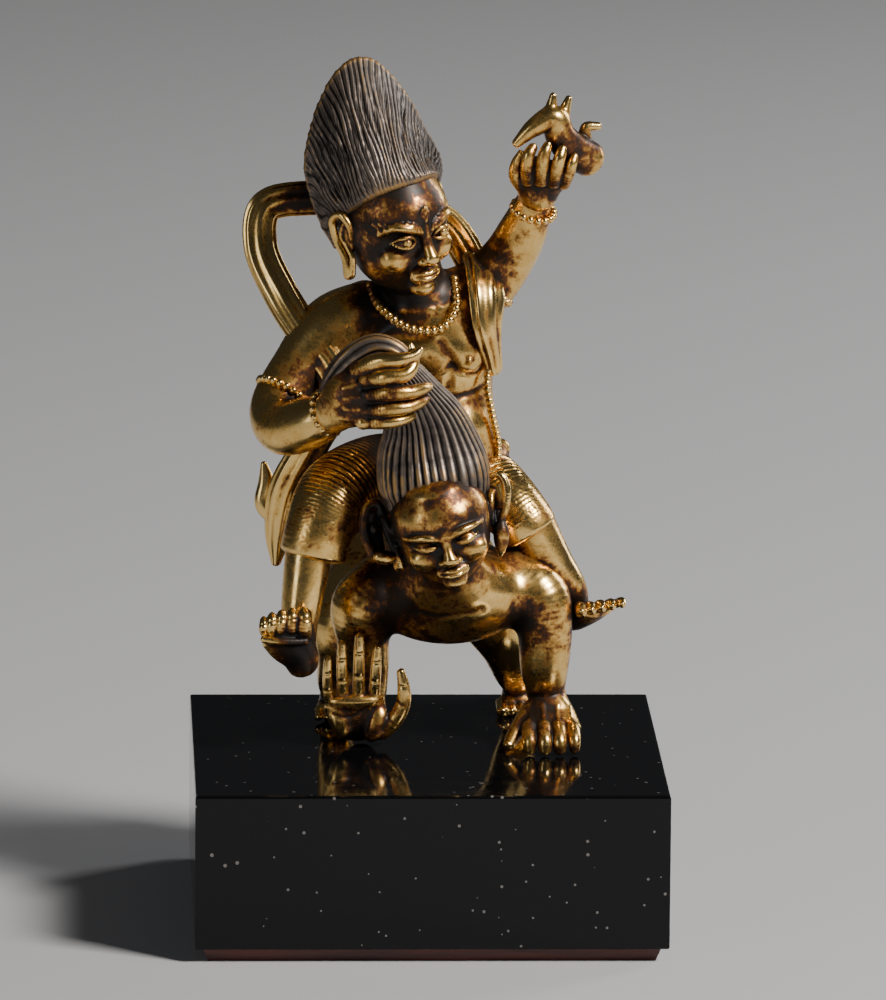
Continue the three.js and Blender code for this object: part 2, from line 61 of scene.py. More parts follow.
def place_camera():
    """Puts the camera at its distance, heading, pitch and roll from the point it looks at."""
    flat = math.cos(CAMERA_PITCH)
    ahead = Vector((math.sin(CAMERA_HEADING) * flat, math.cos(CAMERA_HEADING) * flat, -math.sin(CAMERA_PITCH)))
    level = Vector((math.cos(CAMERA_HEADING), -math.sin(CAMERA_HEADING), 0))
    upright = level.cross(ahead)
    right = level * math.cos(CAMERA_ROLL) + upright * math.sin(CAMERA_ROLL)
    up = right.cross(ahead)
    camera = bpy.data.objects.new("camera", bpy.data.cameras.new("camera"))
    camera.data.lens = CAMERA_LENS
    camera.data.clip_end = 20
    turn = Matrix((right, up, -ahead)).transposed().to_4x4()
    camera.matrix_world = Matrix.Translation(CAMERA_TARGET - ahead * CAMERA_DISTANCE) @ turn
    bpy.context.scene.collection.objects.link(camera)
    bpy.context.scene.camera = camera


def place_soft_light(name, at, aim, size, power, colour=(1, 1, 1)):
    """A square soft box at a point, turned to what it lights."""
    lamp = bpy.data.objects.new(name, bpy.data.lights.new(name, "AREA"))
    lamp.data.shape = "RECTANGLE"
    lamp.data.size, lamp.data.size_y = size
    lamp.data.energy = power
    lamp.data.color = colour
    lamp.location = at
    lamp.rotation_euler = (Vector(aim) - Vector(at)).to_track_quat("-Z", "Y").to_euler()
    bpy.context.scene.collection.objects.link(lamp)


def lay_floor():
    """A matt floor that fills the view, of one even tone."""
    mesh = bpy.data.meshes.new("floor")
    half = FLOOR_HALF
    mesh.from_pydata([(-half, -half, 0), (half, -half, 0), (half, half, 0), (-half, half, 0)], [], [(0, 1, 2, 3)])
    floor = bpy.data.objects.new("floor", mesh)
    bpy.context.scene.collection.objects.link(floor)
    matt = bpy.data.materials.new("floor_matt")
    matt.use_nodes = True
    shader = matt.node_tree.nodes["Principled BSDF"]
    shader.inputs["Base Color"].default_value = FLOOR_COLOUR
    shader.inputs["Roughness"].default_value = 0.85
    mesh.materials.append(matt)


place_camera()
lay_floor()
group_middle = (0, 0, 0.07)
place_soft_light("key", (0.72, -0.55, 0.85), group_middle, (0.3, 0.3), 20, (1, 0.97, 0.93))
place_soft_light("fill", (-0.95, -0.8, 0.35), group_middle, (0.35, 0.6), 1.6, (0.93, 0.96, 1))
place_soft_light("rim", (0.75, 0.6, 0.4), group_middle, (0.25, 0.5), 3.5)
room = bpy.data.worlds.new("room")
room.use_nodes = True
room.node_tree.nodes["Background"].inputs["Color"].default_value = ROOM_COLOUR
bpy.context.scene.world = room

# Plinth foot
# A low board under the block, set in from its sides and drawn in downwards, stained dark red-brown.
# It is glued to the block's underside.


def node_material(name):
    """A new material, with its node tree, its shader and a maker of wired nodes."""
    material = bpy.data.materials.new(name)
    material.use_nodes = True
    tree = material.node_tree
    shader = tree.nodes["Principled BSDF"]

    def node(kind, inputs=(), **settings):
        made = tree.nodes.new(kind)
        for key, value in settings.items():
            setattr(made, key, value)
        for key, value in dict(inputs).items():
            if isinstance(value, bpy.types.NodeSocket):
                tree.links.new(value, made.inputs[key])
            else:
                made.inputs[key].default_value = value
        return made

    def wire(socket, target):
        tree.links.new(socket, shader.inputs[target])

    return material, shader, node, wire


def ramp(node, factor, stops):
    """A colour ramp through stops of (place, colour)."""
    made = node("ShaderNodeValToRGB", {"Fac": factor})
    points = made.color_ramp.elements
    while len(points) < len(stops):
        points.new(0.5)
    for point, (place, colour) in zip(points, stops):
        point.position = place
        point.color = (*colour, 1) if len(colour) == 3 else colour
    return made.outputs["Color"]


def grey(value):
    return (value, value, value)


def red_brown_stain():
    material, shader, node, wire = node_material("red_brown_stain")
    place = node("ShaderNodeTexCoord").outputs["Object"]
    stretched = node("ShaderNodeMapping", {"Vector": place, "Scale": (60, 60, 900)}).outputs["Vector"]
    grain = node("ShaderNodeTexNoise", {"Vector": stretched, "Scale": 1.0, "Detail": 5.0}).outputs["Fac"]
    wire(ramp(node, grain, [(0.35, (0.035, 0.008, 0.006)), (0.7, (0.11, 0.026, 0.018))]), "Base Color")
    wire(ramp(node, grain, [(0.3, grey(0.34)), (0.75, grey(0.55))]), "Roughness")
    bump = node("ShaderNodeBump", {"Height": grain, "Strength": 0.2, "Distance": 0.0002})
    wire(bump.outputs["Normal"], "Normal")
    return material


foot_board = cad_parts["plinth_foot"]
foot_board.data.materials.clear()
foot_board.data.materials.append(red_brown_stain())

# Plinth block
# A square block of wood under black lacquer, polished to a mirror gloss, its edges barely broken.
# Dust and fine scratches lie on its top. The group is pinned to it from below.


def black_polish():
    material, shader, node, wire = node_material("black_polish")
    shader.inputs["IOR"].default_value = 1.34
    place = node("ShaderNodeTexCoord").outputs["Object"]
    specks = node("ShaderNodeTexVoronoi", {"Vector": place, "Scale": 420.0, "Randomness": 1.0}).outputs["Distance"]
    patches = node("ShaderNodeTexNoise", {"Vector": place, "Scale": 45.0, "Detail": 4.0}).outputs["Fac"]
    spread = node("ShaderNodeMath", {0: patches, 1: 0.17}, operation="MULTIPLY").outputs[0]
    dust = node("ShaderNodeMath", {0: spread, 1: specks}, operation="GREATER_THAN").outputs[0]
    streaks = node("ShaderNodeMapping", {"Vector": place, "Scale": (35, 420, 60), "Rotation": (0, 0, 0.35)})
    scratch = node("ShaderNodeTexNoise", {"Vector": streaks.outputs["Vector"], "Scale": 1.0, "Detail": 6.0})
    wire(ramp(node, dust, [(0, (0.004, 0.004, 0.0045)), (1, (0.16, 0.15, 0.14))]), "Base Color")
    wire(ramp(node, scratch.outputs["Fac"], [(0.45, grey(0.05)), (0.8, grey(0.16))]), "Roughness")
    return material


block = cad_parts["plinth_block"]
block.data.materials.clear()
block.data.materials.append(black_polish())
PLINTH_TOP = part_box("plinth_block")[1].z / MM

# The crawling man
# The mount: a man on hands and feet with his head up, cast in one with the rider, then chased.
# He stands on his left hand and both feet, and holds his right hand up with its palm to the front.
FAR = 9.0
CELL = 0.25
FINE_CELL = 0.16


def along(stations, spacing):
    """A smooth line through stations of x, y, z and sizes: its points, sizes and directions."""
    table = np.array([list(s) + [s[3]] if len(s) == 4 else s for s in stations], float)
    ends = np.vstack([2 * table[0] - table[1], table, 2 * table[-1] - table[-2]])
    gap = np.sqrt(np.linalg.norm(np.diff(ends[:, :3], axis=0), axis=1))[:, None]
    length = (gap[1:-1] ** 2).sum()
    place = np.linspace(0, len(table) - 1, max(4, int(length / spacing) + 1))
    i = np.minimum(place.astype(int), len(table) - 2)
    u = (place - i)[:, None]
    a, b, c, d = ends[i], ends[i + 1], ends[i + 2], ends[i + 3]
    before, here, after = gap[i], gap[i + 1], gap[i + 2]
    leave = here * ((b - a) / before - (c - a) / (before + here) + (c - b) / here)
    reach = here * ((c - b) / here - (d - b) / (here + after) + (d - c) / after)
    line = b + leave * u + (3 * (c - b) - 2 * leave - reach) * u**2 + (2 * (b - c) + leave + reach) * u**3
    heading = np.gradient(line[:, :3], axis=0)
    heading /= np.linalg.norm(heading, axis=1)[:, None]
    return line[:, :3], np.maximum(line[:, 3:], 0.05), heading


def turned(degrees):
    """The turn about X, then Y, then Z."""
    (cx, cy, cz), (sx, sy, sz) = np.cos(np.radians(degrees)), np.sin(np.radians(degrees))
    about_x = np.array([[1, 0, 0], [0, cx, -sx], [0, sx, cx]])
    about_y = np.array([[cy, 0, sy], [0, 1, 0], [-sy, 0, cy]])
    about_z = np.array([[cz, -sz, 0], [sz, cz, 0], [0, 0, 1]])
    return about_z @ about_y @ about_x


def crosswise(heading, front):
    """Two ways across a line: one as near as can be to the front, one to its side."""
    depth = np.array(front, float) - heading * (heading @ np.array(front, float))[:, None]
    weak = np.linalg.norm(depth, axis=1) < 0.05
    depth[weak] = np.array([0.1, 0, 1]) - heading[weak] * (heading[weak] @ np.array([0.1, 0, 1]))[:, None]
    depth /= np.linalg.norm(depth, axis=1)[:, None]
    return depth, np.cross(depth, heading)


def sampled(field, at):
    """The field between its cells, at places given in cells."""
    at = np.clip(at, 0, np.array(field.shape) - 1.001)
    first = at.astype(int)
    part = at - first
    total = 0
    for corner in np.ndindex(2, 2, 2):
        weight = np.prod(np.where(corner, part, 1 - part), axis=1)
        total = total + weight * field[tuple((first + corner).T)]
    return total


class Pose:
    """A small frame inside the figure: its own place, turn and scale."""

    def __init__(self, at=(0, 0, 0), degrees=(0, 0, 0), scale=1.0):
        self.at, self.turn, self.scale = np.array(at, float), turned(degrees), scale

    def point(self, local):
        return self.at + self.turn @ (np.array(local, float) * self.scale)

    def way(self, local):
        return self.turn @ np.array(local, float)

    def stations(self, table):
        return [[*self.point(row[:3]), *(np.array(row[3:]) * self.scale)] for row in table]


WORLD = Pose()


class Clay:
    """A form worked up on a grid of cells, in millimetres: each cell holds its depth under the skin."""

    def __init__(self, low, high, cell):
        self.low, self.cell = np.array(low, float), cell
        self.depth = np.full(np.ceil((np.array(high) - self.low) / cell).astype(int) + 1, FAR, np.float32)

    def window(self, low, high):
        first = np.clip(np.floor((np.array(low) - self.low) / self.cell).astype(int), 0, self.depth.shape)
        last = np.clip(np.ceil((np.array(high) - self.low) / self.cell).astype(int) + 1, 0, self.depth.shape)
        axes = [self.low[k] + self.cell * np.arange(first[k], last[k]) for k in range(3)]
        x, y, z = (axis.astype(np.float32) for axis in axes)
        return tuple(map(slice, first, last)), x[:, None, None], y[None, :, None], z[None, None, :]

    def eggs(self, centres, halves, axes, blend):
        """Adds one form made of many eggs, each with half sizes along its own three axes."""
        reach = np.abs(halves[:, :, None] * axes).sum(1) + blend + 2.5 * self.cell
        whole, *_ = self.window((centres - reach).min(0), (centres + reach).max(0))
        start = np.array([part.start for part in whole])
        form = np.full([part.stop - part.start for part in whole], FAR, np.float32)
        if not form.size:
            return
        for centre, half, turn, far in zip(centres, halves, axes, reach):
            where, x, y, z = self.window(centre - far, centre + far)
            local = tuple(slice(part.start - s, part.stop - s) for part, s in zip(where, start))
            if not form[local].size:
                continue
            x, y, z = x - np.float32(centre[0]), y - np.float32(centre[1]), z - np.float32(centre[2])
            near = steep = 0
            for axis, size in zip(turn.astype(np.float32), half.astype(np.float32)):
                across = (x * axis[0] + y * axis[1] + z * axis[2]) / size
                near = near + across**2
                steep = steep + (across / size) ** 2
            near = np.sqrt(near)
            depth = near * (near - 1) / np.maximum(np.sqrt(steep), 1e-4)
            np.minimum(form[local], depth, out=form[local])
        self.join(whole, form, blend)

    def join(self, where, form, blend):
        """Runs a form into what is there, with a fillet about as wide as the blend."""
        old = self.depth[where]
        lower = np.minimum(old, form)
        if blend > 0:
            lower -= np.clip(blend - np.abs(old - form), 0, None) ** 2 / (4 * blend)
        self.depth[where] = lower

    def limb(self, stations, pose=WORLD, front=(0, -1, 0), blend=1.2, end=0.8):
        """A round limb through stations; the last size lies towards the front."""
        line, sizes, heading = along(pose.stations(stations), 0.5 if self.cell > 0.2 else 0.3)
        depth, side = crosswise(heading, pose.way(front))
        halves = np.column_stack([sizes[:, 0], sizes[:, 1], sizes.min(1) * end])
        self.eggs(line, halves, np.stack([side, depth, heading], axis=1), blend)

    def ball(self, centre, half, pose=WORLD, degrees=(0, 0, 0), blend=1.0):
        """One egg, or a ball where one size is given."""
        half = np.broadcast_to(np.array(half, float), 3) * pose.scale
        axes = (pose.turn @ turned(degrees)).T
        self.eggs(pose.point(centre)[None], half[None], axes[None], blend)

    def press(self, line, width, depth=0.25):
        """Presses a soft line of points into the skin; a minus depth raises it."""
        line = np.asarray(line, float)
        width = np.broadcast_to(width, len(line)).astype(float)
        whole, *_ = self.window(line.min(0) - 2.2 * width.max() - self.cell, line.max(0) + 2.2 * width.max() + self.cell)
        start = np.array([part.start for part in whole])
        near = np.full([max(part.stop - part.start, 0) for part in whole], FAR, np.float32)
        if not near.size:
            return
        for point, wide in zip(line, width):
            where, x, y, z = self.window(point - 2.2 * wide - self.cell, point + 2.2 * wide + self.cell)
            local = tuple(slice(part.start - s, part.stop - s) for part, s in zip(where, start))
            if near[local].size:
                px, py, pz = point.astype(np.float32)
                far = ((x - px) ** 2 + (y - py) ** 2 + (z - pz) ** 2) / np.float32(wide**2)
                np.minimum(near[local], far, out=near[local])
        self.depth[whole] += np.float32(depth) * np.exp(-near)

    def groove(self, stations, pose=WORLD, depth=0.25):
        """Presses a soft line as wide as its stations say."""
        line, sizes, _ = along(pose.stations(stations), 0.35 if self.cell > 0.2 else 0.2)
        self.press(line, sizes[:, 0], depth * pose.scale)

    def laid(self, points, lift=0.0):
        """Moves points near the skin on to it, or a lift above it; gives them and the way out."""
        at = np.array(points, float)
        for _ in range(7):
            cells = (at - self.low) / self.cell
            here = sampled(self.depth, cells)
            ways = [sampled(self.depth, cells + axis) - sampled(self.depth, cells - axis) for axis in np.eye(3)]
            out = np.stack(ways, axis=1)
            out /= np.maximum(np.linalg.norm(out, axis=1), 1e-6)[:, None]
            at = at - out * np.clip(here - lift, -1, 1)[:, None]
        return at, out

    def crease(self, points, width=0.3, depth=0.2, pose=WORLD):
        """Presses a line that follows the skin through rough points; a minus depth raises it."""
        line, _, _ = along([[*pose.point(point), 1] for point in points], 0.6 * width)
        self.press(self.laid(line)[0], width, depth)

    def cut_beyond(self, point, way, low, high):
        """Cuts the form off flat past a point, inside a box."""
        where, x, y, z = self.window(low, high)
        way = np.array(way, float) / np.linalg.norm(way)
        past = (x - point[0]) * way[0] + (y - point[1]) * way[1] + (z - point[2]) * way[2]
        np.maximum(self.depth[where], past.astype(np.float32), out=self.depth[where])

    def cut_below(self, height):
        """Takes off all that reaches lower than a level."""
        level = self.low[2] + self.cell * np.arange(self.depth.shape[2])
        np.maximum(self.depth, (height - level).astype(np.float32)[None, None, :], out=self.depth)

    def skin(self):
        """The skin of the form, as points and faces."""
        grid = openvdb.FloatGrid(3 * self.cell)
        grid.copyFromArray(np.clip(self.depth, -3 * self.cell, 3 * self.cell))
        points, triangles, quads = grid.convertToPolygons(isovalue=0.0, adaptivity=0.0)
        return points * self.cell + self.low, np.asarray(quads)[:, ::-1], np.asarray(triangles)[:, ::-1]


def new_piece(name, points, quads, triangles=(), thin=1.0):
    """A smooth-shaded mesh object from millimetre points, its faces turned outwards."""
    points = np.asarray(points, float)
    quads = np.asarray(quads, np.int32).reshape(-1, 4)
    triangles = np.asarray(triangles, np.int32).reshape(-1, 3)
    a, b, c = points[np.concatenate([quads[:, :3], quads[:, [0, 2, 3]], triangles])].transpose(1, 0, 2)
    if (a * np.cross(b, c)).sum() < 0:
        quads, triangles = quads[:, ::-1], triangles[:, ::-1]
    mesh = bpy.data.meshes.new(name)
    corners = np.concatenate([quads.ravel(), triangles.ravel()]).astype(np.int32)
    totals = np.concatenate([np.full(len(quads), 4), np.full(len(triangles), 3)]).astype(np.int32)
    mesh.vertices.add(len(points))
    mesh.vertices.foreach_set("co", (points * MM).astype(np.float32).ravel())
    mesh.loops.add(len(corners))
    mesh.loops.foreach_set("vertex_index", corners)
    mesh.polygons.add(len(totals))
    mesh.polygons.foreach_set("loop_start", np.concatenate([[0], np.cumsum(totals)[:-1]]).astype(np.int32))
    mesh.polygons.foreach_set("loop_total", totals)
    mesh.polygons.foreach_set("use_smooth", np.ones(len(totals), bool))
    mesh.update(calc_edges=True)
    mesh.validate()
    piece = bpy.data.objects.new(name, mesh)
    bpy.context.scene.collection.objects.link(piece)
    if thin < 1:
        piece.modifiers.new("thin", "DECIMATE").ratio = thin
        fewer = piece.evaluated_get(bpy.context.evaluated_depsgraph_get())
        piece.data = bpy.data.meshes.new_from_object(fewer)
        piece.modifiers.clear()
    return piece


def digit(clay, stations, nail_way, pose=WORLD, blend=0.3):
    """A finger or toe through its joints: a nail on the side it faces, creases at the joints opposite."""
    rows = np.array(pose.stations(stations), float)
    clay.limb(rows.tolist(), blend=blend)
    for index in range(1, len(rows)):
        heading = rows[index, :3] - rows[index - 1, :3]
        heading /= np.linalg.norm(heading)
        out, side = (way[0] for way in crosswise(heading[None], pose.way(nail_way)))
        size = rows[index, 3]
        if index == len(rows) - 1:
            middle = rows[index, :3] + out * size * 0.62 - heading * size * 0.1
            half = np.array([[size * 0.66, size * 0.42, size * 0.95]])
            clay.eggs(middle[None], half, np.stack([side, out, heading])[None], 0.04)
        else:
            bend = rows[index, :3] - out * size
            across = np.linspace(-0.8, 0.8, 7)[:, None]
            clay.press(bend + across * side * size + across**2 * out * size * 0.4, 0.2, 0.13)


def egg_shell(clay, centre, half, pose, blend=0.3, degrees=(0, 0, 0)):
    """One egg whose middle is first laid on the skin."""
    at = clay.laid(pose.point(centre)[None])[0][0]
    axes = (pose.turn @ turned(degrees)).T
    clay.eggs(at[None], np.array([half], float), axes[None], blend)


def model_head(clay, pose, half, fierce=False):
    """A head that looks to -Y, by the usual thirds: skull, brows, eyes, nose, lips, chin, long ears."""
    across, deep, high = half
    face = -deep
    clay.limb(
        [
            [0, face * 0.45, -high * 0.8, across * 0.34, deep * 0.36],
            [0, face * 0.22, -high * 0.52, across * 0.78, deep * 0.72],
            [0, face * 0.02, -high * 0.1, across * 0.96, deep * 0.95],
            [0, 0, high * 0.35, across * 0.98, deep * 0.98],
            [0, 0, high * 0.72, across * 0.7, deep * 0.72],
        ],
        pose, end=0.5,
    )
    clay.ball([0, face * 0.76, -high * 0.8], [across * 0.24, deep * 0.2, high * 0.13], pose, blend=1.2)
    for side in (-1, 1):
        clay.ball([side * across * 0.52, face * 0.66, -high * 0.28], [across * 0.27, deep * 0.2, high * 0.19], pose, blend=1.4)
        clay.groove(
            [[side * across * 0.18, face * 0.97, high * 0.02, across * 0.15], [side * across * 0.42, face * 0.93, high * 0.03, across * 0.2], [side * across * 0.66, face * 0.78, high * 0.02, across * 0.15]],
            pose, across * 0.1,
        )
    clay.limb(
        [[0, face * 0.92, high * 0.16, across * 0.11], [0, face * 1.0, -high * 0.08, across * 0.1], [0, face * 1.1, -high * 0.26, across * 0.13]],
        pose, blend=0.8,
    )
    clay.ball([0, face * 1.12, -high * 0.29], [across * 0.15, deep * 0.1, high * 0.08], pose, blend=0.4)
    for side in (-1, 1):
        clay.ball([side * across * 0.15, face * 1.02, -high * 0.315], [across * 0.1, deep * 0.1, high * 0.065], pose, blend=0.3)
        clay.ball([side * across * 0.41, face * 0.8, high * 0.01], [across * 0.19, deep * 0.145, high * 0.1], pose, blend=0.08)
        for lid, open_by in ((1, 0.085 if fierce else -0.025), (-1, 0.07 if fierce else 0.06)):
            rise = high * open_by * lid
            clay.limb(
                [
                    [side * across * 0.19, face * 0.91, -high * 0.025, across * 0.024],
                    [side * across * 0.3, face * 0.95, rise * 0.85, across * 0.038],
                    [side * across * 0.42, face * 0.95, rise + high * 0.01, across * 0.042],
                    [side * across * 0.54, face * 0.89, rise * 0.8 + high * 0.01, across * 0.038],
                    [side * across * 0.67, face * 0.76, high * 0.01, across * 0.022],
                ],
                pose, blend=0.12,
            )
        if fierce:
            egg_shell(clay, [side * across * 0.41, face * 0.96, high * 0.015], [across * 0.085] * 3, pose, 0.05)
            clay.press([clay.laid(pose.point([side * across * 0.41, face * 1.02, high * 0.015])[None])[0][0]], across * 0.03, 0.25)
        clay.limb(
            [
                [side * across * 0.1, face * 0.97, high * 0.12, across * 0.06],
                [side * across * 0.36, face * 0.97, high * (0.22 if fierce else 0.19), across * 0.075],
                [side * across * 0.62, face * 0.84, high * (0.25 if fierce else 0.19), across * 0.06],
                [side * across * 0.8, face * 0.6, high * 0.14, across * 0.03],
            ],
            pose, blend=0.6,
        )
        ear = across * 1.02
        clay.ball([side * across * 0.98, deep * 0.14, -high * 0.02], [across * 0.08, deep * 0.17, high * 0.3], pose, blend=0.3)
        clay.limb(
            [
                [side * ear * 0.97, -deep * 0.02, -high * 0.02, across * 0.06],
                [side * ear * 1.04, -deep * 0.05, high * 0.2, across * 0.07],
                [side * ear * 1.1, deep * 0.14, high * 0.34, across * 0.075],
                [side * ear * 1.13, deep * 0.34, high * 0.2, across * 0.08],
                [side * ear * 1.1, deep * 0.3, -high * 0.1, across * 0.075],
                [side * ear * 1.05, deep * 0.14, -high * 0.34, across * 0.08],
                [side * ear * 1.03, deep * 0.06, -high * 0.6, across * 0.12],
            ],
            pose, front=(side, 0, 0), blend=0.25,
        )
        clay.limb(
            [
                [side * ear * 1.02, deep * 0.16, high * 0.16, across * 0.04],
                [side * ear * 1.05, deep * 0.22, -high * 0.02, across * 0.045],
                [side * ear * 1.02, deep * 0.06, -high * 0.2, across * 0.05],
                [side * ear * 1.0, -deep * 0.03, -high * 0.32, across * 0.06],
                [side * ear * 1.02, deep * 0.0, -high * 0.56, across * 0.08],
            ],
            pose, blend=0.2,
        )
    mouth = -high * 0.565
    clay.ball([0, face * 0.86, mouth], [across * 0.34, deep * 0.12, high * 0.15], pose, blend=0.8)
    for rise, bulge, thick in ((0.035, 0.985, 0.06), (-0.042, 0.97, 0.075)):
        clay.limb(
            [
                [-across * 0.27, face * 0.84, mouth, across * 0.026],
                [-across * 0.12, face * bulge * 0.97, mouth + high * rise, across * thick],
                [0, face * bulge, mouth + high * rise * 0.85, across * thick],
                [across * 0.12, face * bulge * 0.97, mouth + high * rise, across * thick],
                [across * 0.27, face * 0.84, mouth, across * 0.026],
            ],
            pose, blend=0.14,
        )
    level = [[x * across, face * (1.05 - 1.5 * x * x), mouth - high * 0.004] for x in (-0.27, -0.14, 0, 0.14, 0.27)]
    clay.crease(level, 0.2, 0.24, pose)
    clay.crease([[x * across, face * 0.95, mouth - high * (0.13 - x * x)] for x in (-0.14, 0, 0.14)], 0.4, 0.16, pose)
    clay.crease([[0, face * 1.02, z * high] for z in (-0.4, -0.45, -0.49)], 0.28, 0.12, pose)


def brow_strokes(clay, pose, half):
    """Carved brow hairs that flare up and out, and an upright eye between them."""
    across, deep, high = half
    for side in (-1, 1):
        for index in range(9):
            share = index / 8
            x = side * across * (0.12 + 0.62 * share)
            z = high * (0.16 + 0.07 * math.sin(2.6 * share))
            lean = side * across * (0.1 + 0.14 * share)
            depth = -deep * (1.0 - 0.42 * share**2)
            hair = [[x, depth, z - high * 0.02], [x + lean * 0.35, depth, z + high * 0.05], [x + lean, depth * 0.97, z + high * 0.1]]
            clay.crease(hair, 0.2, -0.24, pose)
        clay.crease([[side * across * 0.07, -deep, z * high] for z in (0.1, 0.18, 0.25)], 0.25, 0.2, pose)
    egg_shell(clay, [0, -deep, high * 0.42], [across * 0.07, 0.35, high * 0.085], pose, 0.1)
    for side in (-1, 1):
        clay.crease(
            [[0, -deep, high * 0.29], [side * across * 0.1, -deep, high * 0.42], [0, -deep, high * 0.55]], 0.2, -0.26, pose
        )


MOUNT_HEAD_AT, MOUNT_HEAD_HALF, MOUNT_HEAD_TURN = (1.8, -11.2, 59.4), (7.1, 7.2, 8.2), (12, -14, 0)


def crawling_man():
    clay = Clay((-24, -20, PLINTH_TOP - 2), (27, 34, 62), CELL)
    clay.limb(
        [
            [-1, 26, 46, 6, 5.5],
            [-1, 22, 47.3, 9.6, 7.6],
            [0.5, 14, 47.8, 9.2, 7],
            [2.6, 6.5, 47, 11, 7.5],
            [3.2, 0, 47, 11.6, 7.2],
            [2.8, -4.5, 50, 7.4, 5.6],
            [2.6, -8, 53.6, 4.4, 4.6],
        ],
        front=(0, 0, -1), blend=2,
    )
    clay.limb(
        [
            [12.5, 2.5, 49, 4.7],
            [16.2, 0.3, 46.6, 4.5],
            [17.2, 0, 41.5, 4.0],
            [17.2, 0.4, 36, 3.5],
            [17.4, 1, 33, 2.9],
            [17.6, 1, 31, 2.7],
        ],
        blend=2.4,
    )
    clay.limb(
        [
            [-6, 2.5, 48, 4.7],
            [-9.4, 1, 45, 4.5],
            [-9.2, 3, 40, 3.9],
            [-8.8, 5, 34.5, 3.5],
            [-9, 4, 29.6, 3.0],
            [-9.4, 2, 27.8, 2.4],
        ],
        blend=2.4,
    )
    clay.limb(
        [
            [5, 21, 46.5, 6.4],
            [10, 13.5, 40.4, 4.8],
            [12, 15, 36, 3.6],
            [13.6, 20, 31.4, 3.1],
            [14.4, 23.5, 28.6, 2.4],
        ],
        blend=2.2,
    )
    clay.limb(
        [
            [-7, 20, 46.5, 6.4],
            [-11.4, 11, 40, 4.9],
            [-12, 12, 35.4, 3.6],
            [-12.4, 15.5, 31, 3.1],
            [-12.6, 18.6, 28.6, 2.4],
        ],
        blend=2.2,
    )
    for x, y, big_toe in ((14.6, 23.2, -1), (-12.6, 18.3, 1)):
        clay.limb([[x, y + 2.2, 29, 2.2, 2.1], [x, y + 1.4, 27, 2.5, 1.7], [x, y - 2.2, 26.1, 3.2, 1.3]], front=(0, 0, 1), blend=0.8)
        for index in range(5):
            across = x + big_toe * (2 - index) * 1.35
            size = 1.0 if index == 0 else 0.82 - 0.05 * index
            toe = [[across, y - 2.2, 26, size], [across, y - 4.4 + 0.2 * index, 25.7, size * 0.95], [across, y - 5.4 + 0.3 * index, 25.4, size * 0.9]]
            digit(clay, toe, (0, 0, 1))
    clay.crease([[2.6, -4, 56], [1.6, 4, 55], [0, 14, 55], [-1, 22, 55]], 0.8, 0.3)
    clay.crease([[-1, -5.6, 46.6], [3, -7.4, 46], [7, -5.8, 47]], 0.6, 0.22)
    clay.cut_below(PLINTH_TOP)
    return clay


def raised_hand():
    """The right hand, bent up at the wrist, its palm to the front."""
    clay = Clay((-18, -8, 22.5), (0, 9, 45), FINE_CELL)
    clay.limb([[-8.9, 4.6, 33.5, 2.6], [-9, 4, 29.6, 2.9], [-9.4, 1.6, 27.6, 2.7]], blend=0.8)
    clay.limb([[-9.5, 0.2, 26.9, 3.0, 2.0], [-9.9, -1.4, 28.6, 4.1, 1.7], [-10.5, -2.1, 31.4, 4.5, 1.3]], blend=1, end=0.5)
    clay.ball([-7.4, -2.4, 28.0], [1.6, 1.4, 2.7], degrees=(0, 22, 0), blend=0.8)
    clay.ball([-12.6, -2.3, 28.7], [1.5, 1.2, 2.6], degrees=(0, -10, 0), blend=0.8)
    clay.ball([-10.4, -2.9, 31.6], [3.6, 0.9, 1.0], blend=0.7)
    digit(clay, [[-14.0, -1.9, 30.6, 0.86], [-14.4, -2.6, 33.4, 0.76], [-14.5, -3.0, 35.9, 0.7], [-14.4, -3.0, 37.9, 0.58]], (0, 1, 0))
    digit(clay, [[-12.1, -2.1, 31.4, 0.92], [-12.3, -2.9, 34.9, 0.84], [-12.4, -3.2, 38.0, 0.78], [-12.4, -3.2, 40.2, 0.62]], (0, 1, 0))
    digit(clay, [[-9.9, -2.2, 31.6, 0.96], [-9.9, -3.0, 35.6, 0.88], [-9.9, -3.4, 39.0, 0.82], [-9.9, -3.4, 41.4, 0.64]], (0, 1, 0))
    digit(clay, [[-7.7, -2.1, 31.4, 0.92], [-7.5, -2.8, 34.8, 0.84], [-7.4, -3.1, 37.6, 0.78], [-7.3, -3.1, 39.6, 0.62]], (0, 1, 0))
    digit(clay, [[-6.6, -1.6, 27.0, 1.5], [-4.7, -2.4, 28.7, 1.3], [-3.4, -2.9, 31.4, 1.1], [-3.4, -3.0, 34.0, 0.9], [-3.8, -3.0, 36.0, 0.62]], (0.6, 1, 0), blend=0.5)
    clay.crease([[-6.4, -4, 31.6], [-8.4, -4, 29.6], [-9.2, -4, 27.2]], 0.3, 0.18)
    clay.crease([[-13.8, -4, 29.8], [-11, -4, 29.4], [-8.4, -4, 30.8]], 0.28, 0.16)
    clay.cut_below(PLINTH_TOP)
    return clay


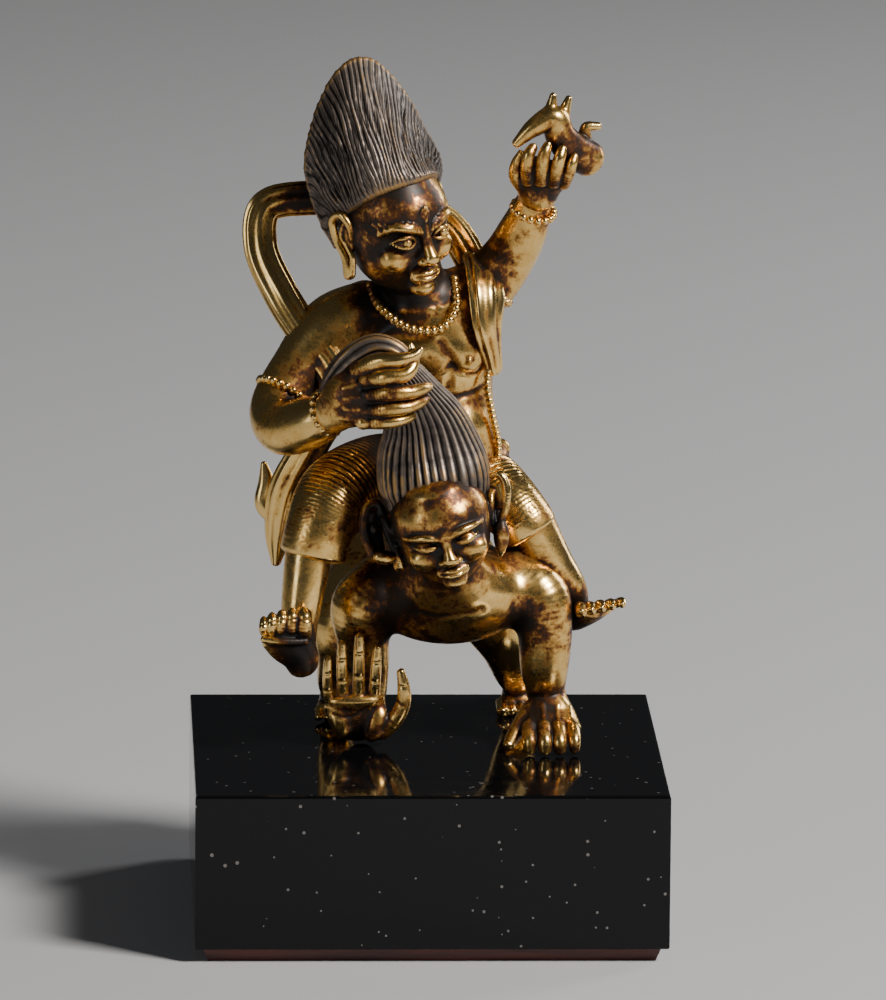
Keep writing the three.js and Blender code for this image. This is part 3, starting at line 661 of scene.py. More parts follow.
def planted_hand():
    """The left hand, which bears on its curled fingers with the thumb apart."""
    clay = Clay((8, -12, 22.5), (27, 6, 38), FINE_CELL)
    clay.limb(
        [[17.5, 1, 33.2, 2.6, 2.6], [17.7, 0.6, 31.2, 2.9, 2.5], [17.9, -1.4, 29.2, 3.9, 2.0], [18, -3.8, 27.8, 4.5, 1.5]],
        front=(0, -0.6, 0.8), blend=0.8, end=0.6,
    )
    clay.ball([18.6, -1.0, 30.6], [1.8, 1.2, 1.1], blend=0.8)
    for index in range(4):
        x = 14.8 + 2.15 * index
        size = (1.12, 1.16, 1.12, 0.98)[index]
        reach = (0, 0.45, 0.3, -0.2)[index]
        digit(
            clay,
            [[x * 0.9 + 1.75, -3.4, 28.2, size], [x, -5.8 - reach, 27.9, size], [x + 0.1, -7.5 - reach, 26.6, size * 0.92], [x + 0.1, -7.6 - reach, 25.5, size * 0.8]],
            (0, -1, 0.5), blend=0.25,
        )
        clay.crease([[x * 0.9 + 1.75, -1.5, 30.4], [x * 0.95 + 0.9, -3.6, 29.6], [x, -5.6, 29]], 0.3, -0.16)
    digit(clay, [[15.2, -0.6, 29.8, 1.4], [13.6, -2.8, 28.0, 1.25], [12.4, -4.8, 26.5, 1.1], [11.8, -6.2, 25.7, 0.85]], (-0.4, -0.6, 0.8), blend=0.5)
    clay.cut_below(PLINTH_TOP)
    return clay


def mount_head():
    pose = Pose(MOUNT_HEAD_AT, MOUNT_HEAD_TURN)
    clay = Clay((-12, -22, 46), (15, 0, 70), FINE_CELL)
    clay.limb([[2.8, -4.5, 50, 7.0, 5.2], [2.6, -8, 53.6, 4.4, 4.6], [2.2, -10, 57, 4, 4]], front=(0, 0, -1), blend=1)
    model_head(clay, pose, MOUNT_HEAD_HALF)
    rim = [[-6.6, -8.6, 60.4, 0.6], [-7.6, -8.4, 62, 0.65], [-8.9, -8.6, 61.6, 0.7], [-9.5, -9, 59.4, 0.7], [-9.2, -9.4, 57, 0.7], [-8, -10, 55, 0.8]]
    clay.limb(rim, blend=0.2)
    clay.limb([[-7.8, -8.4, 60.6, 0.5, 1.3], [-7.9, -8.6, 58, 0.5, 1.4], [-7.2, -9.4, 55.2, 0.6, 1.0]], front=(-1, -0.6, 0), blend=0.3)
    clay.ball((-6.6, -10.8, 54.6), (1.7, 1.1, 1.1), degrees=(0, 10, 20), blend=0.15)
    clay.ball((-8.1, -9.8, 58.6), (0.55, 0.5, 0.8), blend=0.1)
    clay.limb([[8.8, -9.6, 66.4, 0.5], [10.1, -10, 66.6, 0.6], [11, -10.4, 64.8, 0.65], [10.9, -10.8, 62.2, 0.6], [10.3, -11, 60.4, 0.6]], blend=0.2)
    clay.limb([[9.4, -10, 65, 0.5, 0.9], [10, -10.6, 62, 0.5, 0.9]], front=(1, -0.6, 0), blend=0.3)
    clay.limb([[10.3, -11, 60.2, 0.5], [10.3, -11.2, 58.4, 1.15], [10.3, -11.2, 56.6, 0.95], [10.2, -11.2, 55, 0.3]], blend=0.1)
    return clay


def gilded(piece, replaces=None, hair=False):
    """Joins a piece of the casting to the part."""
    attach(piece, "root")
    if replaces:
        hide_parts(replaces)
    casting.append((piece, hair))


casting = []
gilded(new_piece("mount_body", *crawling_man().skin(), thin=0.5), "rider_and_mount")
gilded(new_piece("mount_raised_hand", *raised_hand().skin(), thin=0.5))
gilded(new_piece("mount_planted_hand", *planted_hand().skin(), thin=0.5))
gilded(new_piece("mount_head", *mount_head().skin(), thin=0.5))

# The mount's hair
# Long hair combed up from the brow into the rider's fist, its end thrown back over the hand.
# Each strand is a ridge chased along the lock, dark with old patina.


def drawn_skin(stations, columns, spacing, front=(0, -1, 0), form=None, thin=0.0, rounding=1.0):
    """The skin of a lock, ribbon or sleeve drawn through stations, as rings of points.
    `form` gives the radius share by angle and place, for ridges and folds."""
    line, sizes, heading = along(stations, spacing)
    depth, side = crosswise(heading, front)
    angle = np.linspace(0, 2 * np.pi, columns, endpoint=False)
    place = np.linspace(0, 1, len(line))[:, None]
    share = form(angle[None, :], place) if form else 1.0
    share = np.broadcast_to(share, (len(line), columns))
    across = -np.cos(angle) * sizes[:, :1] * share
    out = np.sin(angle) * np.abs(np.sin(angle)) ** thin * sizes[:, 1:2] * share
    rings = line[:, None] + side[:, None] * across[..., None] + depth[:, None] * out[..., None]
    cap = sizes.min(1)[[0, -1]] * rounding
    steps = np.array([0.35, 0.7, 0.92])
    first = [line[0] + (rings[0] - line[0]) * math.sqrt(1 - s * s) - heading[0] * cap[0] * s for s in steps[::-1]]
    last = [line[-1] + (rings[-1] - line[-1]) * math.sqrt(1 - s * s) + heading[-1] * cap[1] * s for s in steps]
    tips = line[0] - heading[0] * cap[0], line[-1] + heading[-1] * cap[1]
    return np.concatenate([np.array(first), rings, np.array(last)]), tips


def ring_piece(name, skins):
    """One mesh object from drawn skins, each closed at its two tips."""
    points, quads, triangles, count = [], [], [], 0
    for rings, tips in skins:
        rows, columns = rings.shape[:2]
        index = count + np.arange(rows * columns).reshape(rows, columns)
        beside = np.roll(index, -1, axis=1)
        quads.append(np.stack([index[:-1], beside[:-1], beside[1:], index[1:]], axis=-1).reshape(-1, 4))
        count += rows * columns
        triangles.append(np.stack([np.full(columns, count), beside[0], index[0]], axis=-1))
        triangles.append(np.stack([np.full(columns, count + 1), index[-1], beside[-1]], axis=-1))
        count += 2
        points += [rings.reshape(-1, 3), np.array(tips)]
    return new_piece(name, np.concatenate(points), np.concatenate(quads), np.concatenate(triangles))


MOUNT_STRANDS = 36


def strands(count, cut, waver=0.0, seed=1):
    """Ridges along a lock: round tops, sharp cuts, no two quite alike."""
    chance = np.random.default_rng(seed)
    height = chance.uniform(0.6, 1.0, count)
    shift = chance.uniform(-1, 1, 4)

    def form(angle, place):
        slow = waver * (np.sin(angle * 2 + place * 3 + shift[0]) + 0.5 * np.sin(angle * 5 - place * 4 + shift[1]))
        turn = (angle / (2 * np.pi) * count + slow) % count
        ridge = np.abs(np.sin(np.pi * turn)) ** 0.7
        return 1 - cut + cut * ridge * height[turn.astype(int) % count]

    return form


def gathered_hair():
    up = [
        [0.9, -9, 61.5, 7.2, 6.2],
        [0.9, -9, 63.4, 7.7, 6.5],
        [0.6, -9, 65.8, 8.3, 6.8],
        [0, -8.8, 69.5, 7.9, 5.6],
        [-0.9, -9, 74, 6.4, 4.4],
        [-2.8, -9.8, 78.5, 4.3, 3.5],
        [-4.8, -10.4, 82, 3.1, 2.9],
    ]
    over = [
        [-3.6, -11, 82.6, 1.7, 1.9],
        [-5.2, -11, 84.6, 2.0, 2.1],
        [-8, -10.5, 85.3, 2.2, 2.3],
        [-11.4, -10, 83.6, 2.1, 2.4],
        [-14, -9.5, 80.8, 1.6, 1.9],
        [-15.6, -9, 78.6, 0.5, 0.6],
    ]
    return ring_piece(
        "mount_hair",
        [
            drawn_skin(up, MOUNT_STRANDS * 8, 0.3, form=strands(MOUNT_STRANDS, 0.085, 0.35, 5), rounding=0.4),
            drawn_skin(over, 12 * 8, 0.25, form=strands(12, 0.16, 0.3, 7)),
        ],
    )


gilded(gathered_hair(), hair=True)

# The rider
# A stout bare-chested figure that sits astride, cast in one with the mount, then chased and gilded.
# The right fist holds the mount's hair, the left arm is lifted, the head turns to the rider's left.
RIDER_HEAD_AT, RIDER_HEAD_HALF, RIDER_HEAD_TURN = (-5, 2.6, 101.2), (7.6, 8.3, 10), (8, -10, 32)


def rider_body():
    clay = Clay((-30, -20, 28), (30, 27, 112), CELL)
    clay.limb(
        [
            [2.4, 13.5, 57, 7.6, 7],
            [2.6, 12.4, 62, 8.6, 7.6],
            [3.1, 9.4, 68, 7.9, 7.9],
            [3.2, 8.6, 74, 6.6, 6.4],
            [2, 7.8, 79, 8, 6.9],
            [0.9, 7.4, 84, 9.6, 6.7],
            [-1, 7.4, 88.4, 8.8, 5.2],
        ],
        blend=2, end=0.5,
    )
    clay.limb([[-1.4, 7, 88, 5], [-2.6, 5.2, 95, 4.3], [-3, 4.6, 98, 4.2]], blend=2)
    clay.limb(
        [
            [-8.4, 8, 87, 4.9],
            [-13.6, 7, 85, 4.9],
            [-18.4, 5, 79.4, 4.3],
            [-21.6, 2, 74, 4.2],
            [-21, -1.8, 72, 4],
            [-17.2, -5.6, 73.4, 3.8],
            [-13.8, -8.4, 75.4, 2.8],
        ],
        front=(0, 0, 1), blend=2,
    )
    clay.limb(
        [
            [4.4, 8, 88.4, 4.8],
            [8.4, 9, 91, 4.5],
            [11.6, 8, 95, 3.9],
            [13.8, 6, 99.6, 3.5],
            [15.2, 4, 104, 2.6],
        ],
        blend=2,
    )
    clay.limb([[-17, -4, 56, 3.6], [-17.9, -5.4, 50, 3.2], [-18.6, -6.6, 44.6, 2.7], [-18.6, -7.6, 41.2, 2.3]], blend=1.5)
    clay.limb([[14.8, 2.6, 57, 3.8], [17.9, 2.8, 51.6, 3.2], [20.9, 3.6, 46.8, 2.6], [21.6, 5.2, 44, 2.2]], blend=1.5)
    clay.ball((5.6, 3.6, 82.2), (3.4, 2.6, 2.9), blend=1.6)
    clay.ball((-3.2, 3, 82.4), (4, 2.7, 3), blend=1.6)
    clay.ball((3.3, 4.8, 70.8), (5.2, 4.4, 4.8), blend=2)
    clay.crease([[1.8, 0.7, 84], [3.4, 0.7, 81], [2.9, 1.2, 77.5]], 0.7, 0.3)
    clay.crease([[3.4, 0.6, 80.6], [4.9, 1.2, 79.4], [7, 2.4, 79.3], [8, 3, 82]], 0.45, 0.32)
    clay.crease([[3.2, 0.6, 80.4], [1, 0.4, 79.2], [-3, 0.6, 79.4], [-7, 2, 82]], 0.45, 0.32)
    clay.crease([[-3.4, 2, 76], [-0.6, 1.4, 75.8], [2.3, 1.4, 75.7], [6.6, 2.7, 76.4], [8.6, 5, 77.6]], 0.45, 0.34)
    clay.crease([[-0.6, 0.8, 69.6], [3.2, 0.2, 68.4], [7, 1.2, 69.6]], 0.4, 0.2)
    clay.press(clay.laid([[3.4, 0.3, 72]])[0], 0.5, 0.7)
    clay.crease([[-8, 3.6, 87.6], [-4, 1.6, 88.4], [0.4, 1.6, 88.6]], 0.6, -0.25)
    clay.crease([[1.8, 1.8, 88.8], [5, 3, 89.6], [7.4, 5, 91.4]], 0.6, -0.25)
    for side, x, z in ((1, 5.9, 81.4), (-1, -4.2, 81.6)):
        at = clay.laid([[x, 1, z]], 0.1)[0][0]
        clay.ball(at, 0.42, blend=0.15)
    return clay


def rider_fist():
    """The right hand, seen from its back, its fingers wrapped round the mount's hair."""
    clay = Clay((-19, -19, 69), (4, -2, 90), FINE_CELL)
    clay.limb([[-16.4, -6.2, 73.8, 3.2], [-14.6, -8, 74.9, 2.8], [-13.4, -9.4, 75.8, 2.7]], front=(0, 0, 1), blend=0.8)
    clay.limb([[-14, -9.6, 76, 2.7, 3.0], [-12.4, -11.4, 77.6, 2.9, 4.0], [-10, -12.6, 79, 2.2, 4.3]], front=(0, 0, 1), blend=1.2, end=0.7)
    digit(clay, [[-10.6, -12.4, 82.2, 1.5], [-7.6, -14.4, 84, 1.3], [-4.8, -15.2, 84.4, 1.1], [-2.6, -14.9, 85, 0.8], [-1.6, -14.6, 85.9, 0.42]], (0, -1, 0.4))
    digit(clay, [[-9.4, -13.4, 81.2, 1.25], [-6.6, -15.8, 82, 1.2], [-3.8, -15.8, 82.4, 1.05], [-2.6, -14.6, 84.2, 0.85], [-3.1, -14.2, 86.4, 0.42]], (0.3, -1, 0))
    digit(clay, [[-9.2, -13.6, 79, 1.25], [-6, -15.9, 79.7, 1.2], [-3.2, -15.6, 79.8, 1.05], [-1.2, -14, 80, 0.85], [-0.4, -12.6, 80, 0.62]], (0.5, -1, 0))
    digit(clay, [[-9.3, -13.3, 76.9, 1.2], [-6.2, -15.4, 77.3, 1.15], [-3.6, -15.2, 77.5, 1.0], [-1.6, -13.8, 78, 0.82], [-0.8, -12.6, 78.2, 0.6]], (0.5, -1, 0))
    digit(clay, [[-9.8, -12.6, 75, 1.1], [-7.2, -14.6, 75.2, 1.05], [-5, -14.7, 75.4, 0.92], [-3.2, -13.6, 75.7, 0.75], [-2.5, -12.6, 75.9, 0.55]], (0.5, -1, 0))
    for z, x in ((81.2, -9), (79, -8.8), (76.9, -8.9), (75, -9.4)):
        clay.ball((x - 0.4, -14, z), (1.1, 0.9, 1.0), blend=0.5)
        clay.crease([[x - 3.4, -13, 0.6 * z + 31], [x - 1.6, -14, 0.8 * z + 15.6]], 0.3, -0.12)
    return clay


def rider_lifted_hand():
    """The left hand, its fingers closed up round the animal's belly."""
    clay = Clay((8, -6, 97), (24, 10, 117), FINE_CELL)
    clay.limb([[14.6, 5, 101.8, 2.3], [15.2, 4, 104, 2.45], [15.8, 3, 105.6, 2.6]], blend=0.6)
    clay.limb([[15.6, 3, 105.4, 2.6, 2.2], [16.2, 1.8, 107.6, 3.4, 2.2], [16.9, 1, 109.6, 3.6, 1.9]], blend=1, end=0.6)
    digit(clay, [[14.2, 0.2, 108, 1.1], [14, -1.4, 110.2, 1.0], [14.2, -1.8, 112, 0.9], [14.8, -1.3, 113, 0.7]], (0, -1, 0.2))
    digit(clay, [[16, -0.4, 108, 1.1], [16.1, -2, 110.4, 1.0], [16.4, -2.4, 112.2, 0.9], [16.9, -2, 113.4, 0.7]], (0, -1, 0.2))
    digit(clay, [[17.8, -0.2, 107.8, 1.1], [18.2, -1.9, 110, 1.0], [18.6, -2.3, 111.6, 0.9], [19, -1.8, 112.8, 0.7]], (0, -1, 0.2))
    digit(clay, [[19.3, 0.4, 107.4, 1.0], [20, -1, 109.2, 0.9], [20.4, -1.4, 110.6, 0.8], [20.8, -1, 111.6, 0.62]], (0, -1, 0.2))
    digit(clay, [[13.8, 2.4, 106.4, 1.2], [12.5, 1.4, 108.4, 1.1], [12.6, 0.4, 110.4, 0.9], [13.2, 0, 111.8, 0.65]], (-1, 0, 0.2))
    return clay


def rider_right_foot():
    """The sole is turned to the front and down, the toes bent over at its top."""
    clay = Clay((-28, -17, 32), (-11, -2, 51), FINE_CELL)
    clay.limb([[-18.5, -6.7, 45.4, 2.2], [-18.5, -7.2, 42, 2.2], [-18.3, -8.2, 39.6, 2.2]], blend=0.8)
    clay.limb(
        [[-18.2, -8.8, 38.4, 2.3, 2.0], [-18.8, -9.6, 40, 2.7, 1.8], [-20.2, -10.8, 42, 3.3, 1.6], [-21.0, -11.5, 43.4, 3.5, 1.2]],
        blend=1, end=0.9,
    )
    clay.limb([[-24, -12.2, 42.8, 0.5], [-21.4, -12.8, 42.6, 0.55], [-17.8, -12.3, 42.5, 0.5]], blend=0.5)
    for x, size, top in ((-24.0, 0.66, 45.6), (-22.8, 0.76, 46.1), (-21.4, 0.84, 46.4), (-19.9, 0.9, 46.6), (-18.1, 1.12, 46.5)):
        digit(clay, [[x * 0.93 - 1.3, -10.9, 43.2, size], [x, -12.3, 44.3, size], [x + 0.05, -12.2, top - 0.6, size], [x + 0.1, -11.6, top - 0.1, size * 0.9]], (0, 0.6, 1), blend=0.15)
    return clay


def rider_left_foot():
    """The foot points out and to the front, seen from below its toes."""
    clay = Clay((15, -5, 36), (32, 14, 51), FINE_CELL)
    clay.limb([[20.9, 3.8, 46.4, 2.2], [21.5, 5, 44.4, 2.1], [21.6, 6.2, 42.8, 2.0]], blend=0.8)
    clay.limb(
        [[21.2, 7.6, 41.6, 2.0, 1.8], [22, 5.4, 42.2, 2.6, 1.7], [23.6, 3.2, 43.2, 3.2, 1.4], [25, 1.8, 44.1, 3.5, 1.0]],
        front=(0, 0, 1), blend=1, end=0.8,
    )
    for index in range(5):
        x = 22.2 + 1.5 * index
        size = (1.12, 0.94, 0.88, 0.8, 0.72)[index]
        z = 44.3 + 0.27 * index
        digit(clay, [[x * 0.9 + 2.4, 2.2, z - 0.3, size], [x, 0.6, z + 0.3, size * 0.95], [x + 0.15, -0.7 + 0.1 * index, z + 0.5, size * 0.9], [x + 0.2, -1.3 + 0.1 * index, z + 0.2, size * 0.8]], (0, -0.2, 1), blend=0.15)
    return clay


def rider_head():
    pose = Pose(RIDER_HEAD_AT, RIDER_HEAD_TURN)
    clay = Clay((-20, -12, 84), (10, 18, 116), FINE_CELL)
    clay.limb([[-1.9, 6.2, 91.5, 4.6], [-2.6, 5.2, 95, 4.3], [-3, 4.6, 98, 4.2]], blend=1)
    model_head(clay, pose, RIDER_HEAD_HALF, fierce=True)
    brow_strokes(clay, pose, RIDER_HEAD_HALF)
    return clay


rider_clay = rider_body()
gilded(new_piece("rider_body", *rider_clay.skin(), thin=0.5))
gilded(new_piece("rider_fist", *rider_fist().skin(), thin=0.5))
gilded(new_piece("rider_lifted_hand", *rider_lifted_hand().skin(), thin=0.5))
gilded(new_piece("rider_right_foot", *rider_right_foot().skin(), thin=0.5))
gilded(new_piece("rider_left_foot", *rider_left_foot().skin(), thin=0.5))
gilded(new_piece("rider_head", *rider_head().skin(), thin=0.5))

# The rider's hair
# Hair combed up and swept back from the brow into a tall pointed fan with a thin ragged rim.
# Every strand is a chased ridge that runs from the hairline to the rim, dark with old patina.
FAN_TURN = math.radians(28)
FAN_ACROSS = np.array([math.cos(FAN_TURN), math.sin(FAN_TURN), 0])
FAN_FRONT = np.array([math.sin(FAN_TURN), -math.cos(FAN_TURN), 0])
FAN_MIDDLE = np.array([-8.5, 6.5, 0])
FAN_RIM = [
    (-5.6, 97.2), (-7.6, 100.1), (-9.6, 104.7), (-10.8, 109.9), (-9.95, 114.9), (-8.3, 119.2), (-6.2, 122.6), (-3.4, 124.7),
    (-1.6, 125.0), (0.3, 124.6), (3.6, 121.9), (6.7, 118.0), (9.3, 113.5), (11.6, 109.6), (12.0, 106.8), (10.4, 103.6), (7.6, 100.2),
]
FAN_BROW = [
    (-0.97, 0.42, 0.02), (-0.97, 0.1, 0.28), (-0.84, -0.26, 0.53), (-0.46, -0.58, 0.72), (0.06, -0.7, 0.77),
    (0.52, -0.54, 0.72), (0.88, -0.12, 0.5), (0.97, 0.36, 0.1),
]
FAN_NAPE = [(-0.97, 0.5, 0.0), (-0.75, 0.78, -0.2), (-0.3, 0.98, -0.3), (0.3, 0.98, -0.3), (0.75, 0.78, -0.2), (0.97, 0.46, 0.05)]
FAN_STRANDS = 52
FAN_COLUMNS = 8 * FAN_STRANDS
FAN_ROWS = 88


def evenly(points, count, warp=1.0):
    """Points spread along a smooth line, evenly or crowded by a power."""
    line, _, _ = along([[*point, 1] for point in points], 0.02 * np.ptp(np.array(points), axis=0).max())
    run = np.concatenate([[0], np.cumsum(np.linalg.norm(np.diff(line, axis=0), axis=1))])
    marks = run[-1] * np.linspace(0, 1, count) ** warp
    return np.column_stack([np.interp(marks, run, line[:, k]) for k in range(3)])


def chased(surface, count, depth, seed):
    """Cuts strands into a patch of points that run from the hairline, row 0, to the rim."""
    rows, columns = surface.shape[:2]
    chance = np.random.default_rng(seed)
    across = np.linspace(0, 1, columns)[None]
    up = np.linspace(0, 1, rows)[:, None]
    normal = np.cross(np.gradient(surface, axis=1), np.gradient(surface, axis=0))
    normal /= np.linalg.norm(normal, axis=2)[..., None] + 1e-9
    waver = 0.45 * np.sin(9 * across + 4 * up) + 0.3 * np.sin(31 * across - 7 * up + 1) + 0.15 * np.sin(67 * across + 13 * up)
    turn = across * count + waver
    lift = chance.uniform(0.55, 1.0, count + 4)[np.floor(turn).astype(int) + 1]
    ridge = np.abs(np.sin(np.pi * turn)) ** 0.6 * lift
    fine = 0.18 * np.abs(np.sin(np.pi * (turn * 2.7 + 3 * np.sin(5 * up))))
    for start, height, length in chance.uniform((0, 0.12, 0.08), (1, 0.85, 0.22), (90, 3)):
        gap = np.clip(1 - np.abs(across - start) * count / 0.5, 0, 1)
        ridge = ridge - 0.8 * gap * np.clip(1 - np.abs(up - height) / length, 0, 1) ** 0.5
    fade = np.clip(up / 0.06, 0.25, 1)
    return surface + normal * ((ridge + fine - 0.7) * depth * fade)[..., None]


def fan_hair():
    head = Pose(RIDER_HEAD_AT, RIDER_HEAD_TURN)
    half = np.array(RIDER_HEAD_HALF)
    rim = evenly([(a, z, 0) for a, z in FAN_RIM], FAN_COLUMNS, 0.72)
    rim = FAN_MIDDLE + rim[:, :1] * FAN_ACROSS + rim[:, 1:2] * [0, 0, 1]
    share = np.linspace(0, 1, FAN_COLUMNS)
    up = np.linspace(0, 1, FAN_ROWS)[:, None, None]
    patches = []
    for line, warp, front, bulge, sway, strands_here, seed in (
        (FAN_BROW, 1.0, 1, 3.4, 3.6, FAN_STRANDS, 3),
        (FAN_NAPE, 0.72, -1, 3.6, 0.0, FAN_STRANDS - 8, 4),
    ):
        root = np.array([head.point(point * half * 1.03) for point in evenly(line, FAN_COLUMNS, warp)])
        lean = np.sin(np.pi * share)[:, None]
        handle = root + (rim - root) * 0.42 + front * FAN_FRONT * bulge * (0.35 + 0.65 * lean) - FAN_ACROSS * sway * lean**2
        edge = rim + front * FAN_FRONT * 0.22
        patch = (1 - up) ** 2 * root + 2 * up * (1 - up) * handle + up**2 * edge
        away = (root - head.point((0, 0, 0))) / np.linalg.norm(root - head.point((0, 0, 0)), axis=1)[:, None]
        patch = patch + away * 0.75 * ((1 - np.exp(-up / 0.025)) * np.exp(-up / 0.3))
        patches.append(chased(patch[:, :: front], strands_here, 0.24 * front, seed)[:, :: front])
    loop = np.concatenate([patches[0], patches[1][:, ::-1]], axis=1)
    inner = head.point((0, 0.1 * half[1], 0.35 * half[2]))
    tucked = inner + (loop[:1] - inner) * 0.86
    rings = np.concatenate([tucked, loop])
    rows, columns = rings.shape[:2]
    index = np.arange(rows * columns).reshape(rows, columns)
    beside = np.roll(index, -1, axis=1)
    sides = np.stack([index[:-1], beside[:-1], beside[1:], index[1:]], axis=-1).reshape(-1, 4)
    top, half_way = index[-1], columns // 2
    left = np.arange(half_way - 1)
    closing = np.stack([top[left], top[left + 1], top[columns - 2 - left], top[columns - 1 - left]], axis=-1)
    base = np.stack([np.full(columns, rows * columns), beside[0], index[0]], axis=-1)
    points = np.concatenate([rings.reshape(-1, 3), inner[None]])
    return new_piece("rider_hair", points, np.concatenate([sides, closing]), base)


gilded(fan_hair(), hair=True)

# The rider's dress
# Short folded trousers with banded hems, a sash round the waist and a shawl over the left shoulder,
# all cast with the body.


def trousers():
    clay = Clay((-26, -14, 46), (24, 26, 74), CELL)
    clay.limb(
        [[-1, 12.5, 61, 7.4, 6.8], [-8, 6, 62.2, 6.9, 6.6], [-13.6, -1, 61, 5.9, 5.9], [-15.9, -3.6, 56.8, 5, 4.8], [-16.6, -4, 53.8, 4.9, 4.5]],
        blend=2, end=0.25,
    )
    clay.limb(
        [[4, 13, 60.5, 7, 6.6], [8.4, 8.6, 61.4, 5.6, 5.6], [11.8, 4.6, 59.4, 4.9, 4.9], [13.7, 2.8, 57.6, 4.5, 4.4], [14.9, 2.6, 55.8, 4.4, 4.3]],
        blend=2, end=0.25,
    )
    clay.limb(
        [[-4.6, 11, 67.2, 1.4, 1.6], [-1, 4.4, 63.8, 1.4, 1.6], [3.4, 3, 62.6, 1.4, 1.6], [8, 4.4, 63.8, 1.4, 1.6], [11, 10, 66.6, 1.4, 1.6]],
        front=(0, 0, 1), blend=0.6,
    )
    return clay


gilded(new_piece("trousers", *trousers().skin()))


def folds(count, height):
    """Raised folds along a ribbon."""
    return lambda angle, place: 1 + height * np.cos(angle * count)


def shawl_and_scarf():
    scarf = [
        [7.6, 10, 92.4, 2.2, 1],
        [3, 13.6, 99, 2.3, 0.9],
        [-6, 14.4, 103, 2.4, 0.8],
        [-16, 13.8, 103, 2.4, 0.8],
        [-23.4, 12.4, 101.8, 2.3, 0.9],
        [-24.2, 11.4, 96.4, 2.3, 1],
        [-21.2, 8.6, 89.6, 2.4, 1],
        [-17, 3.8, 83.6, 2.4, 1],
        [-13.4, 1, 78.6, 2.4, 1],
        [-14, 2.6, 73.6, 2.3, 1.1],
        [-16.8, 5, 68, 2.4, 1.3],
        [-20.2, 6.4, 61, 2.6, 1.4],
        [-21.4, 7.4, 54.4, 1.9, 1.1],
        [-21.8, 8, 50, 0.7, 0.6],
    ]
    flame = [[-20.6, 7, 56.8, 1.9, 1], [-23.4, 7.8, 58.6, 1.5, 0.9], [-23.2, 8, 61.6, 1.3, 0.8], [-23.6, 8, 64.6, 0.5, 0.4]]
    shawl = [[4.6, 12.6, 88, 2.6, 1.2], [7.6, 9, 93.4, 3, 1.3], [8.4, 3.6, 91.4, 3, 1.4], [8.6, 1.8, 86, 2.4, 1.3], [9.6, 3.4, 79.6, 1.4, 1]]
    back_fall = [[5, 13.4, 90, 2.8, 1.2], [1.6, 15.4, 84, 3, 1.3], [-0.4, 15.6, 76, 3, 1.3], [-0.6, 19.4, 66, 3, 1.3]]
    return ring_piece(
        "scarf_and_shawl",
        [
            drawn_skin(scarf, 64, 0.4, form=folds(8, 0.08)),
            drawn_skin(flame, 48, 0.4),
            drawn_skin(shawl, 64, 0.4, (0.5, -0.7, 0.5), folds(8, 0.08)),
            drawn_skin(back_fall, 64, 0.4, (0, 1, 0), folds(8, 0.08)),
        ],
    )


gilded(shawl_and_scarf())

# The jewellery
# Beaded necklace, bracelets and armlets, round ear ornaments and a girdle cord, cast as rows of beads.


def bead_row(points, radius, sides=8):
    """Small balls along a line of points, nearly touching."""
    angle = np.linspace(0, 2 * np.pi, sides, endpoint=False)
    tilt = np.linspace(0, np.pi, sides // 2 + 1)[1:-1]
    ring = np.array([[[math.cos(a) * math.sin(t), math.sin(a) * math.sin(t), math.cos(t)] for a in angle] for t in tilt])
    return [(np.array(p) + ring * radius, (np.array(p) + [0, 0, radius], np.array(p) - [0, 0, radius])) for p in points]


def spaced(stations, pitch):
    line, _, _ = along([[*row[:3], 1] for row in stations], 0.1)
    run = np.concatenate([[0], np.cumsum(np.linalg.norm(np.diff(line, axis=0), axis=1))])
    marks = np.linspace(0, run[-1], int(run[-1] / pitch) + 1)
    return np.column_stack([np.interp(marks, run, line[:, k]) for k in range(3)])


def circle(centre, axis, radius, pitch):
    axis = np.array(axis, float) / np.linalg.norm(axis)
    side = np.cross(axis, [0, 0, 1] if abs(axis[2]) < 0.9 else [1, 0, 0])
    side /= np.linalg.norm(side)
    other = np.cross(axis, side)
    count = int(2 * np.pi * radius / pitch)
    angle = np.arange(count) * 2 * np.pi / count
    return np.array(centre) + radius * (np.cos(angle)[:, None] * side + np.sin(angle)[:, None] * other)


def jewellery():
    rows = []
    necklace = [[-8.4, 6, 91.4], [-7, 1.6, 89], [-3, -0.6, 86.4], [1.4, -0.7, 86.2], [3.9, 1, 88.8], [3.8, 4.6, 92.6]]
    girdle = [[9.8, 3.4, 84], [8.6, 2.4, 78], [9.4, 3.6, 73], [10.4, 5.4, 68], [10.2, 6.6, 63.6]]
    rows += bead_row(spaced(necklace, 1.0), 0.72)
    rows += bead_row(spaced(girdle, 0.9), 0.6)
    for centre, axis, radius in (
        ((-20.6, 3, 75.9), (-0.5, -0.4, -0.8), 4.3),
        ((-14.9, -7.4, 75.1), (0.75, -0.55, 0.4), 3.1),
        ((9.2, 8.9, 91.8), (0.75, 0, 0.6), 4.4),
        ((15.2, 4.5, 102.8), (0.2, -0.4, 1), 3),
    ):
        rows += bead_row(circle(centre, axis, radius, 1.1), 0.62)
    return ring_piece("jewellery", rows)


gilded(jewellery())

# The small animal
# A long-snouted beast held up in the rider's left hand, cast with it.


